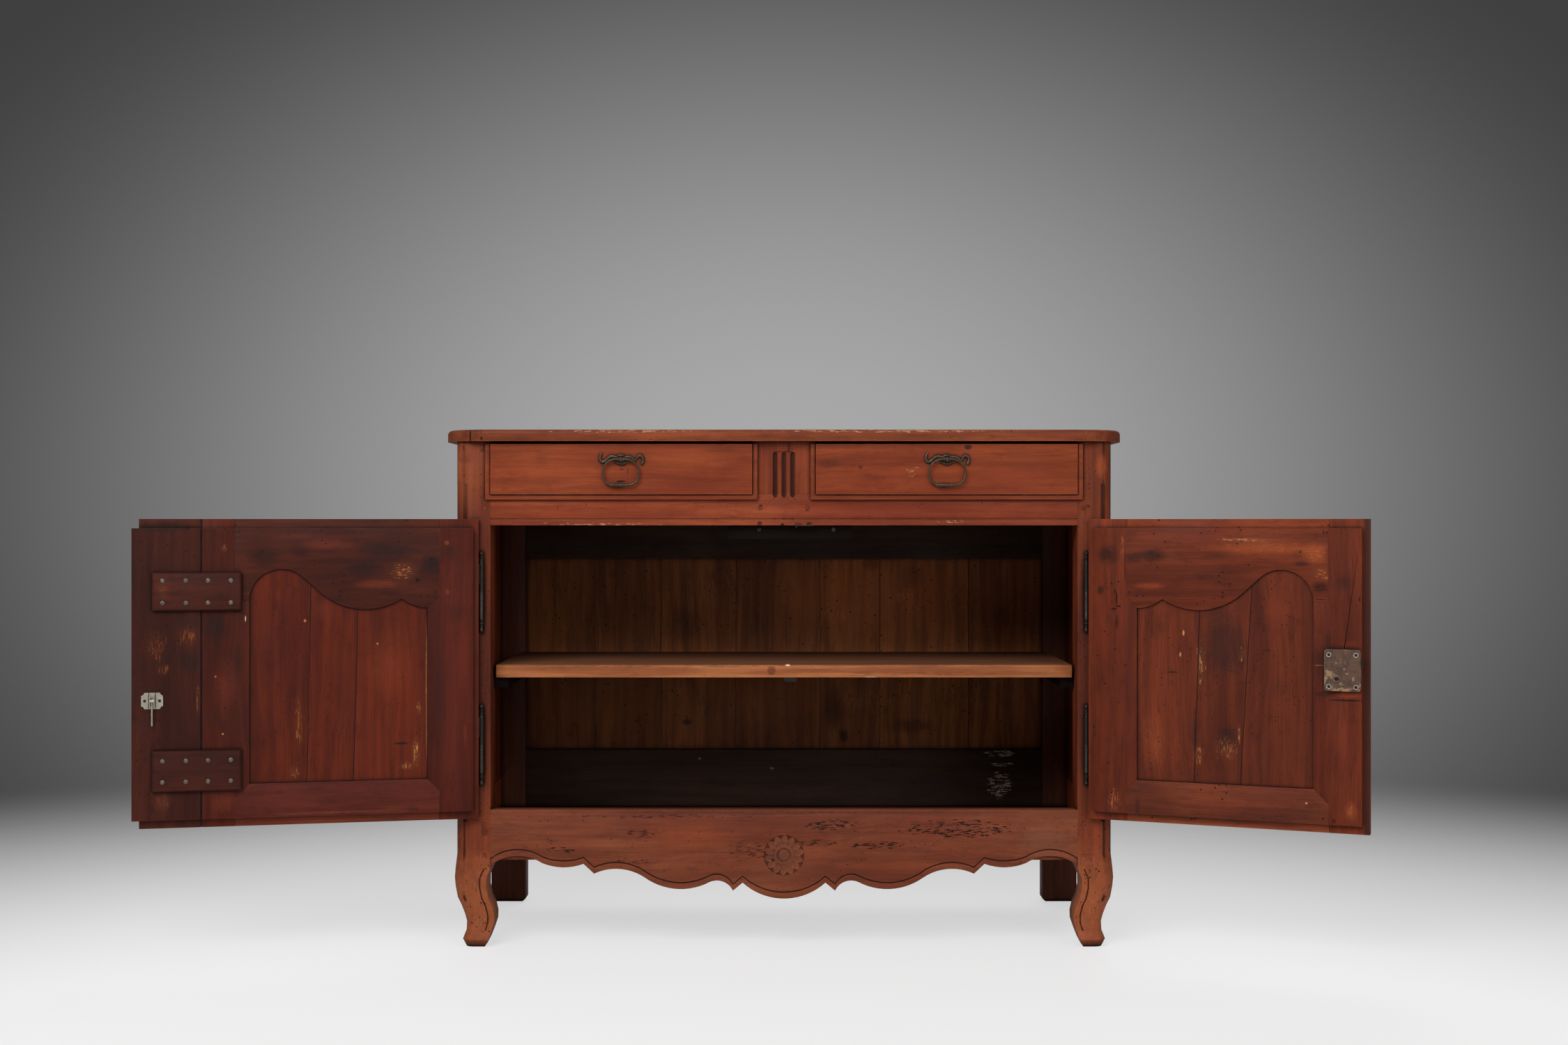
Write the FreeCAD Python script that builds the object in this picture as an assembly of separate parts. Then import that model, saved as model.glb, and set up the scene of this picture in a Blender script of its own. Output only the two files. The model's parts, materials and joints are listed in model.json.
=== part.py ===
import FreeCAD, Part
import math
import os

# A cherry-wood buffet: two lipped drawers over two panelled doors that stand open.
# X runs to the right, the front faces -Y and Z is up.
# The origin is on the floor under the middle of the body.
# All lengths are in millimetres.

V = FreeCAD.Vector

# Body
body_width = 1240.0
body_depth = 530.0
body_height = 957.0
post_width = 66.0
front_post_depth = 68.0
post_corner_radius = 26.0
back_post_width = 72.0
back_post_depth = 50.0
back_foot_chamfer = 6.5
rail_thickness = 28.0
tenon_length = 30.0
tenon_thickness = 10.0
tenon_shoulder = 9.0
overrun = 4.0
board_gap = 0.8

# Top
top_thickness = 22.0
top_front_overhang = 20.0
top_side_overhang = 24.0
top_corner_radius = 90.0
top_edge_radius = 8.0
top_cleat_width = 77.0
top_board_count = 3
top_tongue_length = 14.0
top_tongue_height = 7.0

# Curved front legs: how the outer and the inner face sway, from the floor to the knee
knee_height = 177.0
leg_sway = 16.5
foot_shares = [(0.0, -1.03, -0.79), (0.079, -0.61, -0.36), (0.17, -0.97, 0.0)]
shank_shares = [
    (0.17, -0.97, 0.0),
    (0.26, -1.0, 0.3),
    (0.34, -0.79, 0.33),
    (0.446, -0.42, 0.12),
    (0.53, -0.06, -0.24),
    (0.65, 0.15, -0.47),
    (0.75, 0.24, -0.44),
    (0.85, 0.18, 0.0),
    (1.0, 0.0, 0.0),
]
edge_bead_width = 11.0
edge_groove_width = 2.4
edge_groove_depth = 2.4

# Flutes in the rounded corners and in the divider
corner_flute_radius = 5.0
corner_flute_standoff = 2.0
corner_flute_inset = 18.0
corner_flute_bottom = 238.0
corner_flute_top_gap = 79.0
divider_flute_radius = 5.4
divider_flute_standoff = 1.9
divider_flute_spacing = 16.4
divider_flute_count = 3
divider_flute_drop = 7.0
divider_flute_top_gap = 19.2

# Front frame
apron_top = 262.0
apron_drop = 168.0
apron_end_share = 0.625
apron_outer_shares = [(1.0, 0.625), (0.927, 0.525), (0.824, 0.601), (0.752, 0.649), (0.683, 0.61)]
apron_middle_shares = [
    (0.647, 0.72),
    (0.58, 0.666),
    (0.475, 0.762),
    (0.353, 0.893),
    (0.254, 0.815),
    (0.218, 0.8),
    (0.174, 0.911),
]
apron_notch_share = 0.141
apron_notch_drop_share = 0.821
rosette_drop = 86.0
rosette_radius = 38.0
rosette_depth = 2.0
rosette_button_radius = 10.5
door_rail_drop = 158.3
door_rail_height = 59.3
rail_bead_height = 11.0
divider_width = 118.0
top_rail_depth = 40.0
top_rail_height = 12.0
peg_radius = 4.0
peg_sides = 8
peg_length = 26.0
peg_proud = 0.6
post_peg_inset = 11.0
divider_peg_inset = 14.5
peg_height_share = 0.55
apron_peg_rise = 16.5
apron_peg_drop = 27.5

# Sides
side_setback = 2.0
side_thickness = 19.0
side_top_rail_height = 100.0
side_bottom_rail_top = 262.0
side_rail_drop = 118.0
side_rail_shares = [
    (0.0, 0.89),
    (0.15, 0.76),
    (0.3, 0.84),
    (0.5, 1.0),
    (0.7, 0.84),
    (0.85, 0.76),
    (1.0, 0.89),
]
panel_tongue = 6.0
side_panel_thickness = 9.0
side_panel_field_inset = 34.0
side_panel_field_rise = 5.0
side_panel_recess = 4.0
panel_margin = 2.0
panel_inner_gap = 0.5

# Back
back_rail_thickness = 25.0
back_top_rail_height = 229.0
back_bottom_rail_bottom = 150.0
back_bottom_rail_top = 322.0
back_board_thickness = 12.0
back_board_shares = [-1.0, -0.735, -0.477, -0.187, 0.141, 0.372, 1.0]
back_board_margin = 7.0

# Cupboard floor and shelf
floor_top = 204.0
floor_thickness = 20.0
floor_board_count = 4
bearer_height = 20.0
bearer_width = 24.0
shelf_height_share = 0.505
shelf_thickness = 24.0
shelf_setback = 35.0
shelf_back_gap = 50.0
shelf_end_gap = 6.0
shelf_cleat_width = 26.0
shelf_cleat_height = 20.0
shelf_cleat_setback = 14.0
strike_width = 22.0
strike_depth = 16.0
strike_lip = 8.0
strike_thickness = 1.5
strike_offset = 11.9

# Stop block and catch plate under the rail
stop_left = 106.0
stop_right = 129.0
stop_height = 25.7
stop_depth = 35.0
stop_gap = 5.5
catch_plate_start = 22.0
catch_plate_length = 33.0
catch_plate_depth = 16.0
catch_plate_thickness = 1.5
catch_plate_nib = 2.6

# Doors, measured from the lip's edge at the hinge side; the inner face looks back when the door is shut
door_bottom_overlap = 14.6
door_top_overlap = 11.8
door_thickness = 25.0
door_lip_thickness = 12.0
door_lip_gap = 0.5
door_side_overlap = 9.5
door_side_clearance = 1.5
door_top_clearance = 5.2
door_bottom_clearance = 1.2
hinge_reach = 6.0
left_door_angle = 167.2
right_door_angle = 156.0
hinge_stile_width = 95.5
meeting_stile_width = 84.5
false_stile_width = 122.0
false_stile_rebate = 12.0
meeting_lip_gap = 1.0
meeting_gap = 1.5
bottom_rail_height = 78.6
joint_mitre = 22.0
meeting_joint_width = 26.0
top_rail_height_at_side = 165.5
panel_hump_rise = 73.5
cusp_shares = [(0.0, 0.0), (0.08, 0.07), (0.148, 0.238)]
dip_shares = [(0.148, 0.238), (0.34, -0.023), (0.6, 0.385)]
hump_shares = [(0.7, 0.782), (0.88, 0.9585), (1.0, 0.224)]
door_panel_thickness = 15.0
door_panel_recess = 1.2
door_tongue_thickness = 8.0
door_tongue_setback = 5.0
door_field_inset = 30.0
left_panel_joint_shares = [0.0, 0.395, 0.67, 1.0]
right_panel_joint_shares = [0.0, 0.345, 0.615, 1.0]
false_stile_gap = 0.6

# Battens and the elbow catch
batten_overlap = 70.6
batten_length = 156.0
batten_thickness = 11.0
upper_batten_drop = 97.5
upper_batten_height = 69.0
lower_batten_rise = 68.6
lower_batten_height = 74.0
batten_chamfer = 3.0
elbow_offset = 86.0
elbow_drop = 67.0
elbow_width = 38.0
elbow_height = 29.5
elbow_plate_thickness = 1.5
elbow_notch_radius = 5.0
elbow_ear_height = 20.0
elbow_ear_reach = 10.0
elbow_ear_thickness = 1.4
elbow_ear_gap = 6.4
elbow_pivot_reach = 6.5
elbow_pin_radius = 1.5
elbow_hub_radius = 3.2
elbow_hub_gap = 0.2
elbow_rod_radius = 1.7
elbow_rod_length = 45.0
running_clearance = 0.06

# Lock
lock_edge_gap = 0.35
lock_width = 63.0
lock_rise = 256.6
lock_height = 74.0
lock_thickness = 12.0
lock_corner = 5.0
key_inset = 21.6
key_rise = 22.0
key_boss_radius = 6.5
key_boss_rise = 1.5
key_hole_radius = 3.2
key_slot_width = 3.2
key_slot_drop = 10.0
bolt_height = 14.0
bolt_thickness = 6.0
bolt_length = 40.0
bolt_proud = 2.0
bolt_rise = 44.0
bolt_lift = 2.5
bolt_clearance = 0.3

# Hinges
hinge_inset_share = 0.107
hinge_height = 154.0
hinge_barrel_radius = 5.0
hinge_pin_radius = 3.0
hinge_pin_length = 38.0
hinge_finial_height = 24.0
hinge_neck_radius = 3.0
hinge_bulb_radius = 4.8
finial_sides = 8
finial_shares = [(0.0, 1.0, 0.0), (0.4, 0.0, 1.0), (1.0, 0.2, 0.0)]
hinge_leaf_thickness = 2.0
hinge_leaf_length = 22.0
hinge_leaf_height = 38.0
hinge_half_gap = 0.3
leaf_clearance = 0.05

# Drawers
drawer_lip_overlap = 9.0
drawer_bottom_overlap = 11.0
drawer_top_gap = 5.0
drawer_lip_thickness = 6.0
drawer_field_rise = 3.0
drawer_lip_border = 10.0
drawer_lip_line = 1.6
drawer_body_thickness = 14.0
drawer_clearance = 1.5
drawer_lip_gap = 0.5
drawer_side_thickness = 12.0
drawer_side_height = 77.0
drawer_back_gap = 30.5
drawer_back_height = 56.0
drawer_bottom_thickness = 8.0
drawer_bottom_lift = 8.0
drawer_groove = 5.0
drawer_slide_gap = 0.3
runner_height = 20.0
runner_ledge = 19.0
guide_height = 20.0
centre_runner_width = 150.0

# Drawer pulls
bail_shoulder_radius = 29.0
bail_side_radius = 24.0
bail_corner_radius = 16.0
bail_turn_angle = 60.0
bail_radius = 2.25
bail_sides = 6
bail_knuckle_radius = 3.4
bail_knuckle_length = 12.0
pivot_drop = 34.5
pivot_reach = 8.5
eye_radius = 5.2
eye_width = 9.0
eye_post_width = 6.4
pull_boss_radius = 9.0
pull_plate_thickness = 2.6
pull_half_width = 43.0
pull_ball_radius = 3.4
left_arm_shares = [(0.0, 0.0), (0.35, 0.14), (0.6, -0.02), (0.82, -0.1), (0.91, 0.19)]
right_arm_shares = [(0.0, 0.0), (0.3, 0.1), (0.56, -0.05), (0.78, 0.1), (0.89, -0.1)]
arm_width_shares = [0.2, 0.18, 0.11, 0.12, 0.06]


# Places that follow from the sizes
front = -body_depth / 2
back = body_depth / 2
half_body = body_width / 2
half_opening = half_body - post_width
back_half_opening = half_body - back_post_width
post_back = front + front_post_depth
back_post_front = back - back_post_depth
frame_back = front + rail_thickness
side_outer = half_body - side_setback
side_inner = side_outer - side_thickness
door_rail_bottom = body_height - door_rail_drop
door_rail_top = door_rail_bottom + door_rail_height
shelf_top = apron_top + shelf_height_share * (door_rail_bottom - apron_top)
half_divider = divider_width / 2
door_bottom = apron_top - door_bottom_overlap
door_top = door_rail_bottom + door_top_overlap
door_body_bottom = apron_top + door_bottom_clearance
door_body_top = door_rail_bottom - door_top_clearance
bottom_rail_top = door_bottom + bottom_rail_height
panel_shoulder = door_top - top_rail_height_at_side
hinge_inset = hinge_inset_share * (door_top - door_bottom)
hinge_heights = [door_bottom + hinge_inset, door_top - hinge_inset - hinge_height]
hinge_x = -(half_opening + door_side_overlap + hinge_reach)
hinge_y = front - door_lip_gap - door_lip_thickness / 2
door_edge_x = hinge_x + hinge_reach
door_face = -door_lip_thickness / 2
door_lip_back = door_face + door_lip_thickness
door_inner = door_face + door_thickness
door_frame_width = -door_edge_x - (false_stile_width + meeting_gap) / 2
panel_width = door_frame_width - hinge_stile_width - meeting_stile_width
left_door_width = door_frame_width + false_stile_width
false_stile_lip = left_door_width - false_stile_rebate
right_lip_width = -2 * door_edge_x - false_stile_lip - meeting_lip_gap
right_body_width = -2 * door_edge_x - left_door_width - meeting_gap
panel_side = hinge_stile_width + panel_width
batten_start = door_frame_width - batten_overlap
upper_batten_top = door_top - upper_batten_drop
lower_batten_bottom = door_bottom + lower_batten_rise
batten_heights = [
    (upper_batten_top - upper_batten_height, upper_batten_top),
    (lower_batten_bottom, lower_batten_bottom + lower_batten_height),
]
elbow_place = door_frame_width + elbow_offset
elbow_bottom = shelf_top - elbow_drop
lock_start = right_body_width - lock_edge_gap - lock_width
lock_bottom = door_bottom + lock_rise
key_place = lock_start + key_inset
key_height = lock_bottom + key_rise
shelf_front = front + shelf_setback
shelf_back = back_post_front - shelf_back_gap
drawer_face = front - drawer_lip_gap - drawer_lip_thickness - drawer_field_rise
drawer_left = -(half_opening + drawer_lip_overlap)
drawer_right = -(half_divider - drawer_lip_overlap)
drawer_low = door_rail_top - drawer_bottom_overlap
drawer_high = body_height - drawer_top_gap
drawer_body_back = front - drawer_lip_gap + drawer_body_thickness
drawer_centre = (drawer_left + drawer_right) / 2
pivot_y = drawer_face - pivot_reach
pivot_z = body_height - pivot_drop


def block(x_range, y_range, z_range):
    """A box between two places on each axis."""
    size = [high - low for low, high in (x_range, y_range, z_range)]
    return Part.makeBox(*size, V(x_range[0], y_range[0], z_range[0]))


def rod(radius, start, end):
    """A round bar from one point to another."""
    return Part.makeCylinder(radius, (end - start).Length, start, end - start)


def mirrored(shape):
    """The same piece on the other side of the middle plane."""
    return shape.mirror(V(0, 0, 0), V(1, 0, 0))


def save(name, *shapes):
    """Writes one node: every solid of the shapes given."""
    solids = [solid for shape in shapes for solid in shape.Solids]
    shape = solids[0] if len(solids) == 1 else Part.makeCompound(solids)
    shape.exportStep("parts/" + name + ".step")


def extrude_front(points_wire, y_low, y_high):
    """A solid from an outline in the XZ plane."""
    face = Part.Face(points_wire)
    return face.translated(V(0, y_low, 0)).extrude(V(0, y_high - y_low, 0))


def arcs(points):
    """Arcs end to end: each runs through three points and starts where the last one ended."""
    return [Part.Arc(*points[i:i + 3]).toShape() for i in range(0, len(points) - 2, 2)]


def line(start, end):
    return Part.LineSegment(start, end).toShape()


def polygon(points):
    """A closed wire in the XZ plane."""
    places = [V(x, 0, z) for x, z in points]
    return Part.makePolygon(places + places[:1])


# Top


def top_slab():
    """The whole top with round front corners and a thumbnail edge."""
    left = -half_body - top_side_overhang
    right = -left
    y_front = front - top_front_overhang
    r = top_corner_radius
    bend = r * (1 - math.sqrt(0.5))
    z = body_height
    left_bend = [V(left, y_front + r, z), V(left + bend, y_front + bend, z), V(left + r, y_front, z)]
    right_bend = [V(right - r, y_front, z), V(right - bend, y_front + bend, z), V(right, y_front + r, z)]
    edges = [
        line(V(left, back, z), left_bend[0]),
        line(left_bend[-1], right_bend[0]),
        line(right_bend[-1], V(right, back, z)),
        line(V(right, back, z), V(left, back, z)),
    ]
    edges = Part.__sortEdges__(edges + arcs(left_bend) + arcs(right_bend))
    slab = Part.Face(Part.Wire(edges)).extrude(V(0, 0, top_thickness))
    rim = [
        edge
        for edge in slab.Edges
        if edge.BoundBox.ZMin > body_height + top_thickness / 2 and edge.BoundBox.YMin < back - overrun
    ]
    return slab.makeFillet(top_edge_radius, rim)


def make_top():
    slab = top_slab()
    half_top = half_body + top_side_overhang
    half_field = half_top - top_cleat_width
    y_low = front - top_front_overhang
    z_range = (body_height, body_height + top_thickness)
    depth = (back - y_low) / top_board_count
    tongue_z = body_height + (top_thickness - top_tongue_height) / 2
    boards = []
    for i in range(top_board_count):
        y_range = (y_low + i * depth + (board_gap if i else 0), y_low + (i + 1) * depth)
        field = slab.common(block((-half_field, half_field), y_range, z_range))
        reach = half_field + top_tongue_length
        inset = top_corner_radius / 2
        tongue = block(
            (-reach, reach),
            (y_range[0] + inset, y_range[1] - inset),
            (tongue_z, tongue_z + top_tongue_height),
        )
        boards.append(field.fuse(tongue))
    cleat = slab.common(block((-half_top, -half_field), (y_low, back), z_range))
    for board in boards:
        cleat = cleat.cut(board)
    save("top_boards", *boards)
    save("left_top_cleat", cleat)
    save("right_top_cleat", mirrored(cleat))


# Front legs


def leg_faces(height_share, outer_share, inner_share):
    """Where the left leg's faces are at one height: outer X, inner X, front Y, rear Y and Z."""
    outer = leg_sway * outer_share
    inner = leg_sway * inner_share
    return (
        -half_body - outer,
        -half_opening + inner,
        front - outer,
        post_back + inner,
        knee_height * height_share,
    )


def leg_section(x0, x1, y0, y1, z):
    """A square with its outer front corner rounded."""
    r = post_corner_radius * (x1 - x0) / post_width
    bend = r * (1 - math.sqrt(0.5))
    return Part.Wire(
        [
            line(V(x1, y0, z), V(x0 + r, y0, z)),
            Part.Arc(V(x0 + r, y0, z), V(x0 + bend, y0 + bend, z), V(x0, y0 + r, z)).toShape(),
            line(V(x0, y0 + r, z), V(x0, y1, z)),
            line(V(x0, y1, z), V(x1, y1, z)),
            line(V(x1, y1, z), V(x1, y0, z)),
        ]
    )


def leg_edge_groove():
    """The groove that sets off the bead along the leg's inner front edge."""
    sections = []
    for shares in shank_shares[:-1]:
        x0, x1, y0, y1, z = leg_faces(*shares)
        low, high = y0 - overrun, y0 + edge_groove_depth
        near = x1 - edge_bead_width
        far = near - edge_groove_width
        corners = [V(near, low, z), V(near, high, z), V(far, high, z), V(far, low, z)]
        sections.append(Part.makePolygon(corners + corners[:1]))
    return Part.makeLoft(sections, True, True)


def flute(x, y, z_low, z_high, radius):
    """A round-ended flute cutter."""
    low, high = V(x, y, z_low + radius), V(x, y, z_high - radius)
    return rod(radius, low, high).fuse([Part.makeSphere(radius, low), Part.makeSphere(radius, high)])


def front_leg_blank():
    foot = Part.makeLoft([leg_section(*leg_faces(*s)) for s in foot_shares], True, True)
    shank = Part.makeLoft([leg_section(*leg_faces(*s)) for s in shank_shares], True, True)
    knee = Part.Face(leg_section(*leg_faces(*shank_shares[-1])))
    post = knee.extrude(V(0, 0, body_height - knee_height))
    leg = post.fuse([shank, foot])
    places = [
        (-half_body + corner_flute_inset, front - corner_flute_standoff),
        (-half_body - corner_flute_standoff, front + corner_flute_inset),
    ]
    flute_top = body_height - corner_flute_top_gap
    flutes = [flute(x, y, corner_flute_bottom, flute_top, corner_flute_radius) for x, y in places]
    return leg.cut(flutes + [leg_edge_groove()])


# Apron and rails


def apron_outline(drop_more):
    """The apron's outline, its lower edge moved up by drop_more."""

    def place(x_share, z_share, side):
        return V(side * half_opening * x_share, 0, apron_top - apron_drop * z_share + drop_more)

    edges = []
    for side in (-1, 1):
        outer = [place(x, z, side) for x, z in apron_outer_shares]
        middle = [place(x, z, side) for x, z in apron_middle_shares]
        notch = place(apron_notch_share, apron_notch_drop_share, side)
        edges += arcs(outer) + [line(outer[-1], middle[0])] + arcs(middle) + [line(middle[-1], notch)]
    notches = [place(apron_notch_share, apron_notch_drop_share, side) for side in (-1, 1)]
    edges += arcs([notches[0], place(0, 1, 1), notches[1]])
    end_z = apron_top - apron_drop * apron_end_share + drop_more
    corners = [V(-half_opening, 0, end_z), V(-half_opening, 0, apron_top)]
    corners += [V(half_opening, 0, apron_top), V(half_opening, 0, end_z)]
    edges += [line(a, b) for a, b in zip(corners, corners[1:])]
    return Part.Wire(Part.__sortEdges__(edges))


def end_tenons(length_half, y_low, z_low, z_high, thickness):
    """Two tenons at the ends of a rail."""
    y_mid = y_low + thickness / 2
    bar = block(
        (-length_half - tenon_length, length_half + tenon_length),
        (y_mid - tenon_thickness / 2, y_mid + tenon_thickness / 2),
        (z_low + tenon_shoulder, z_high - tenon_shoulder),
    )
    return bar


def rosette_recess():
    """The sunk ring round the rosette's button."""
    low = V(0, front - overrun, apron_top - rosette_drop)
    high = V(0, front + rosette_depth, apron_top - rosette_drop)
    return rod(rosette_radius, low, high).cut(rod(rosette_button_radius, low, high))


def make_apron():
    body = extrude_front(apron_outline(0), front, frame_back)
    tenon_low = apron_top - apron_drop * apron_end_share
    body = body.fuse(end_tenons(half_opening, front, tenon_low, apron_top, rail_thickness))
    y_range = (front - overrun, front + edge_groove_depth)
    upper = extrude_front(apron_outline(edge_bead_width), *y_range)
    lower = extrude_front(apron_outline(edge_bead_width + edge_groove_width), *y_range)
    groove = upper.cut(lower)
    return body.cut([groove, rosette_recess()])


def make_door_rail():
    z_range = (door_rail_bottom, door_rail_top)
    rail = block((-half_opening, half_opening), (front, frame_back), z_range)
    rail = rail.fuse(end_tenons(half_opening, front, *z_range, rail_thickness))
    groove_z = door_rail_bottom + rail_bead_height
    groove = block(
        (-half_opening, half_opening),
        (front - overrun, front + edge_groove_depth / 2),
        (groove_z, groove_z + edge_groove_width),
    )
    return rail.cut(groove)


def make_divider():
    body = block((-half_divider, half_divider), (front, frame_back), (door_rail_top, body_height))
    z_low, z_high = door_rail_top - divider_flute_drop, body_height - divider_flute_top_gap
    flutes = []
    for i in range(divider_flute_count):
        x = (i - (divider_flute_count - 1) / 2) * divider_flute_spacing
        y = front - divider_flute_standoff
        flutes.append(flute(x, y, z_low, z_high, divider_flute_radius))
    return body, flutes


def many_sided(sides, radius, centre, normal, up):
    """The outline of a regular polygon round a centre, its corners on the radius."""
    across = normal.cross(up)
    corners = []
    for i in range(sides):
        angle = 2 * math.pi * (i + 0.5) / sides
        corners.append(centre + up * (radius * math.cos(angle)) + across * (radius * math.sin(angle)))
    return Part.makePolygon(corners + corners[:1])


def peg(x, z):
    """A whittled peg with eight sides."""
    end = many_sided(peg_sides, peg_radius, V(x, front - peg_proud, z), V(0, 1, 0), V(0, 0, 1))
    return Part.Face(end).extrude(V(0, peg_length + peg_proud, 0))


def make_pegs():
    """Pegs through the tenons of the apron, of the rail and of the divider."""
    rail_z = door_rail_bottom + door_rail_height * peg_height_share
    apron_end = apron_top - apron_drop * apron_end_share
    heights = [rail_z, apron_end + apron_peg_rise, apron_top - apron_peg_drop]
    pegs = [peg(side * (half_opening + post_peg_inset), z) for side in (-1, 1) for z in heights]
    pegs += [peg(side * (half_divider - divider_peg_inset), rail_z) for side in (-1, 1)]
    return pegs


def make_front_frame():
    apron = make_apron()
    rail = make_door_rail()
    divider, flutes = make_divider()
    top_rail = block((-half_opening, half_opening), (frame_back, frame_back + top_rail_depth),
                     (body_height - top_rail_height, body_height))
    pegs = make_pegs()
    rail = rail.cut(pegs + flutes)
    apron = apron.cut(pegs)
    divider = divider.cut(flutes)
    leg = front_leg_blank().cut([apron, rail] + pegs)
    save("front_apron", apron)
    save("door_rail", rail)
    save("drawer_divider", divider)
    save("top_front_rail", top_rail)
    save("joint_pegs", *pegs)
    return leg


# Sides and back


def side_rail_wire():
    """The shaped bottom rail of a side, drawn in the YZ plane at the outer face."""
    y0, y1 = post_back, back_post_front
    x = -side_outer
    z1 = side_bottom_rail_top
    points = [V(x, y0 + (y1 - y0) * s, z1 - side_rail_drop * d) for s, d in side_rail_shares]
    corners = [points[-1], V(x, y1, z1), V(x, y0, z1), points[0]]
    return Part.Wire(arcs(points) + [line(a, b) for a, b in zip(corners, corners[1:])])


def side_tenon(z_low, z_high):
    x_mid = -side_outer + side_thickness / 2
    return block(
        (x_mid - tenon_thickness / 2, x_mid + tenon_thickness / 2),
        (post_back - tenon_length, back_post_front + tenon_length),
        (z_low + tenon_shoulder, z_high - tenon_shoulder),
    )


def fielded_panel(y_range, z_range):
    """A side panel with a raised field on its outer side."""
    outer = -side_outer + side_panel_recess + side_panel_field_rise
    plate = block(
        (outer, outer + side_panel_thickness),
        (y_range[0] - panel_tongue, y_range[1] + panel_tongue),
        (z_range[0] - panel_tongue, z_range[1] + panel_tongue),
    )

    def rim(inset, x):
        corners = [
            V(x, y_range[0] + inset, z_range[0] + inset),
            V(x, y_range[1] - inset, z_range[0] + inset),
            V(x, y_range[1] - inset, z_range[1] - inset),
            V(x, y_range[0] + inset, z_range[1] - inset),
        ]
        return Part.makePolygon(corners + corners[:1])

    rims = [rim(panel_margin, outer), rim(side_panel_field_inset, outer - side_panel_field_rise)]
    return plate.fuse(Part.makeLoft(rims, True, True))


def make_side():
    """The rails and the panel of the left side."""
    rail_low = body_height - side_top_rail_height
    top_rail = block((-side_outer, -side_inner), (post_back, back_post_front), (rail_low, body_height))
    top_rail = top_rail.fuse(side_tenon(rail_low, body_height))
    bottom_rail = Part.Face(side_rail_wire()).extrude(V(side_thickness, 0, 0))
    tenon_low = side_bottom_rail_top - side_rail_drop * side_rail_shares[0][1]
    bottom_rail = bottom_rail.fuse(side_tenon(tenon_low, side_bottom_rail_top))
    panel = fielded_panel((post_back, back_post_front), (side_bottom_rail_top, rail_low))
    return top_rail.cut(panel), bottom_rail.cut(panel), panel


def back_leg_blank():
    leg = block((-half_body, -back_half_opening), (back_post_front, back), (0, body_height))
    foot = [edge for edge in leg.Edges if edge.BoundBox.ZMax < overrun]
    return leg.makeChamfer(back_foot_chamfer, foot)


def back_rail(z_low, z_high):
    y_range = (back_post_front, back_post_front + back_rail_thickness)
    rail = block((-back_half_opening, back_half_opening), y_range, (z_low, z_high))
    return rail.fuse(end_tenons(back_half_opening, y_range[0], z_low, z_high, back_rail_thickness))


def make_back_boards():
    """Upright boards nailed to the rear of the back rails."""
    y0 = back_post_front + back_rail_thickness
    places = [back_half_opening * share for share in back_board_shares]
    boards = []
    for x0, x1 in zip(places, places[1:]):
        boards.append(
            block(
                (x0, x1),
                (y0, y0 + back_board_thickness),
                (back_bottom_rail_bottom + back_board_margin, body_height - back_board_margin),
            )
        )
    return boards


def make_sides_and_back(leg):
    side_top, side_bottom, panel = make_side()
    top_rail = back_rail(body_height - back_top_rail_height, body_height)
    bottom_rail = back_rail(back_bottom_rail_bottom, back_bottom_rail_top)
    leg = leg.cut([side_top, side_bottom, panel])
    back_leg = back_leg_blank().cut([side_top, side_bottom, panel, top_rail, bottom_rail])
    save("left_side_rails", side_top, side_bottom)
    save("right_side_rails", mirrored(side_top), mirrored(side_bottom))
    save("left_side_panel", panel)
    save("right_side_panel", mirrored(panel))
    save("left_back_leg", back_leg)
    save("right_back_leg", mirrored(back_leg))
    save("back_top_rail", top_rail)
    save("back_bottom_rail", bottom_rail)
    save("back_boards", *make_back_boards())
    return leg


# Inside of the cupboard


def make_floor():
    """Floor boards notched round the posts, and the bearers under them."""
    depth = (back_post_front - frame_back) / floor_board_count
    z_range = (floor_top - floor_thickness, floor_top)
    notches = []
    for side in (-1, 1):
        near, far = sorted((side * half_opening, side * (half_body + overrun)))
        notches.append(block((near, far), (front, post_back), (0, body_height)))
    boards = []
    for i in range(floor_board_count):
        y0 = frame_back + i * depth
        board = block((-side_inner, side_inner), (y0 + (board_gap if i else 0), y0 + depth), z_range)
        boards.append(board.cut(notches))
    z_range = (z_range[0] - bearer_height, z_range[0])
    rear = back_post_front - bearer_width
    bearers = [
        block((-half_opening, half_opening), (frame_back, frame_back + bearer_width), z_range),
        block((-back_half_opening, back_half_opening), (rear, back_post_front), z_range),
    ]
    side = block((-side_inner, -side_inner + bearer_width), (post_back, rear), z_range)
    save("floor_boards", *boards)
    save("floor_bearers", *bearers, side, mirrored(side))


def make_shelf():
    half = half_opening - shelf_end_gap
    z0 = shelf_top - shelf_thickness
    shelf = block((-half, half), (shelf_front, shelf_back), (z0, shelf_top))
    cleat = block(
        (-half_opening, -half_opening + shelf_cleat_width),
        (shelf_front + shelf_cleat_setback, back_post_front + back_rail_thickness),
        (z0 - shelf_cleat_height, z0),
    )
    cleat = cleat.cut(block((-half_body, -back_half_opening), (back_post_front, back), (0, body_height)))
    strike_x = door_edge_x + elbow_place - strike_offset
    x_range = (strike_x - strike_width / 2, strike_x + strike_width / 2)
    strike = block(x_range, (shelf_front, shelf_front + strike_depth), (z0 - strike_thickness, z0))
    lip = block(x_range, (shelf_front, shelf_front + strike_thickness), (z0 - strike_lip, z0))
    save("shelf", shelf)
    save("shelf_cleats", cleat, mirrored(cleat))
    save("shelf_strike", strike.fuse(lip))


def make_stop_block():
    y0 = front - door_lip_gap - door_lip_thickness + door_thickness + stop_gap
    z_range = (door_rail_bottom - stop_height, door_rail_bottom)
    save("stop_block", block((-stop_left, stop_right), (y0, y0 + stop_depth), z_range))


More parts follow.
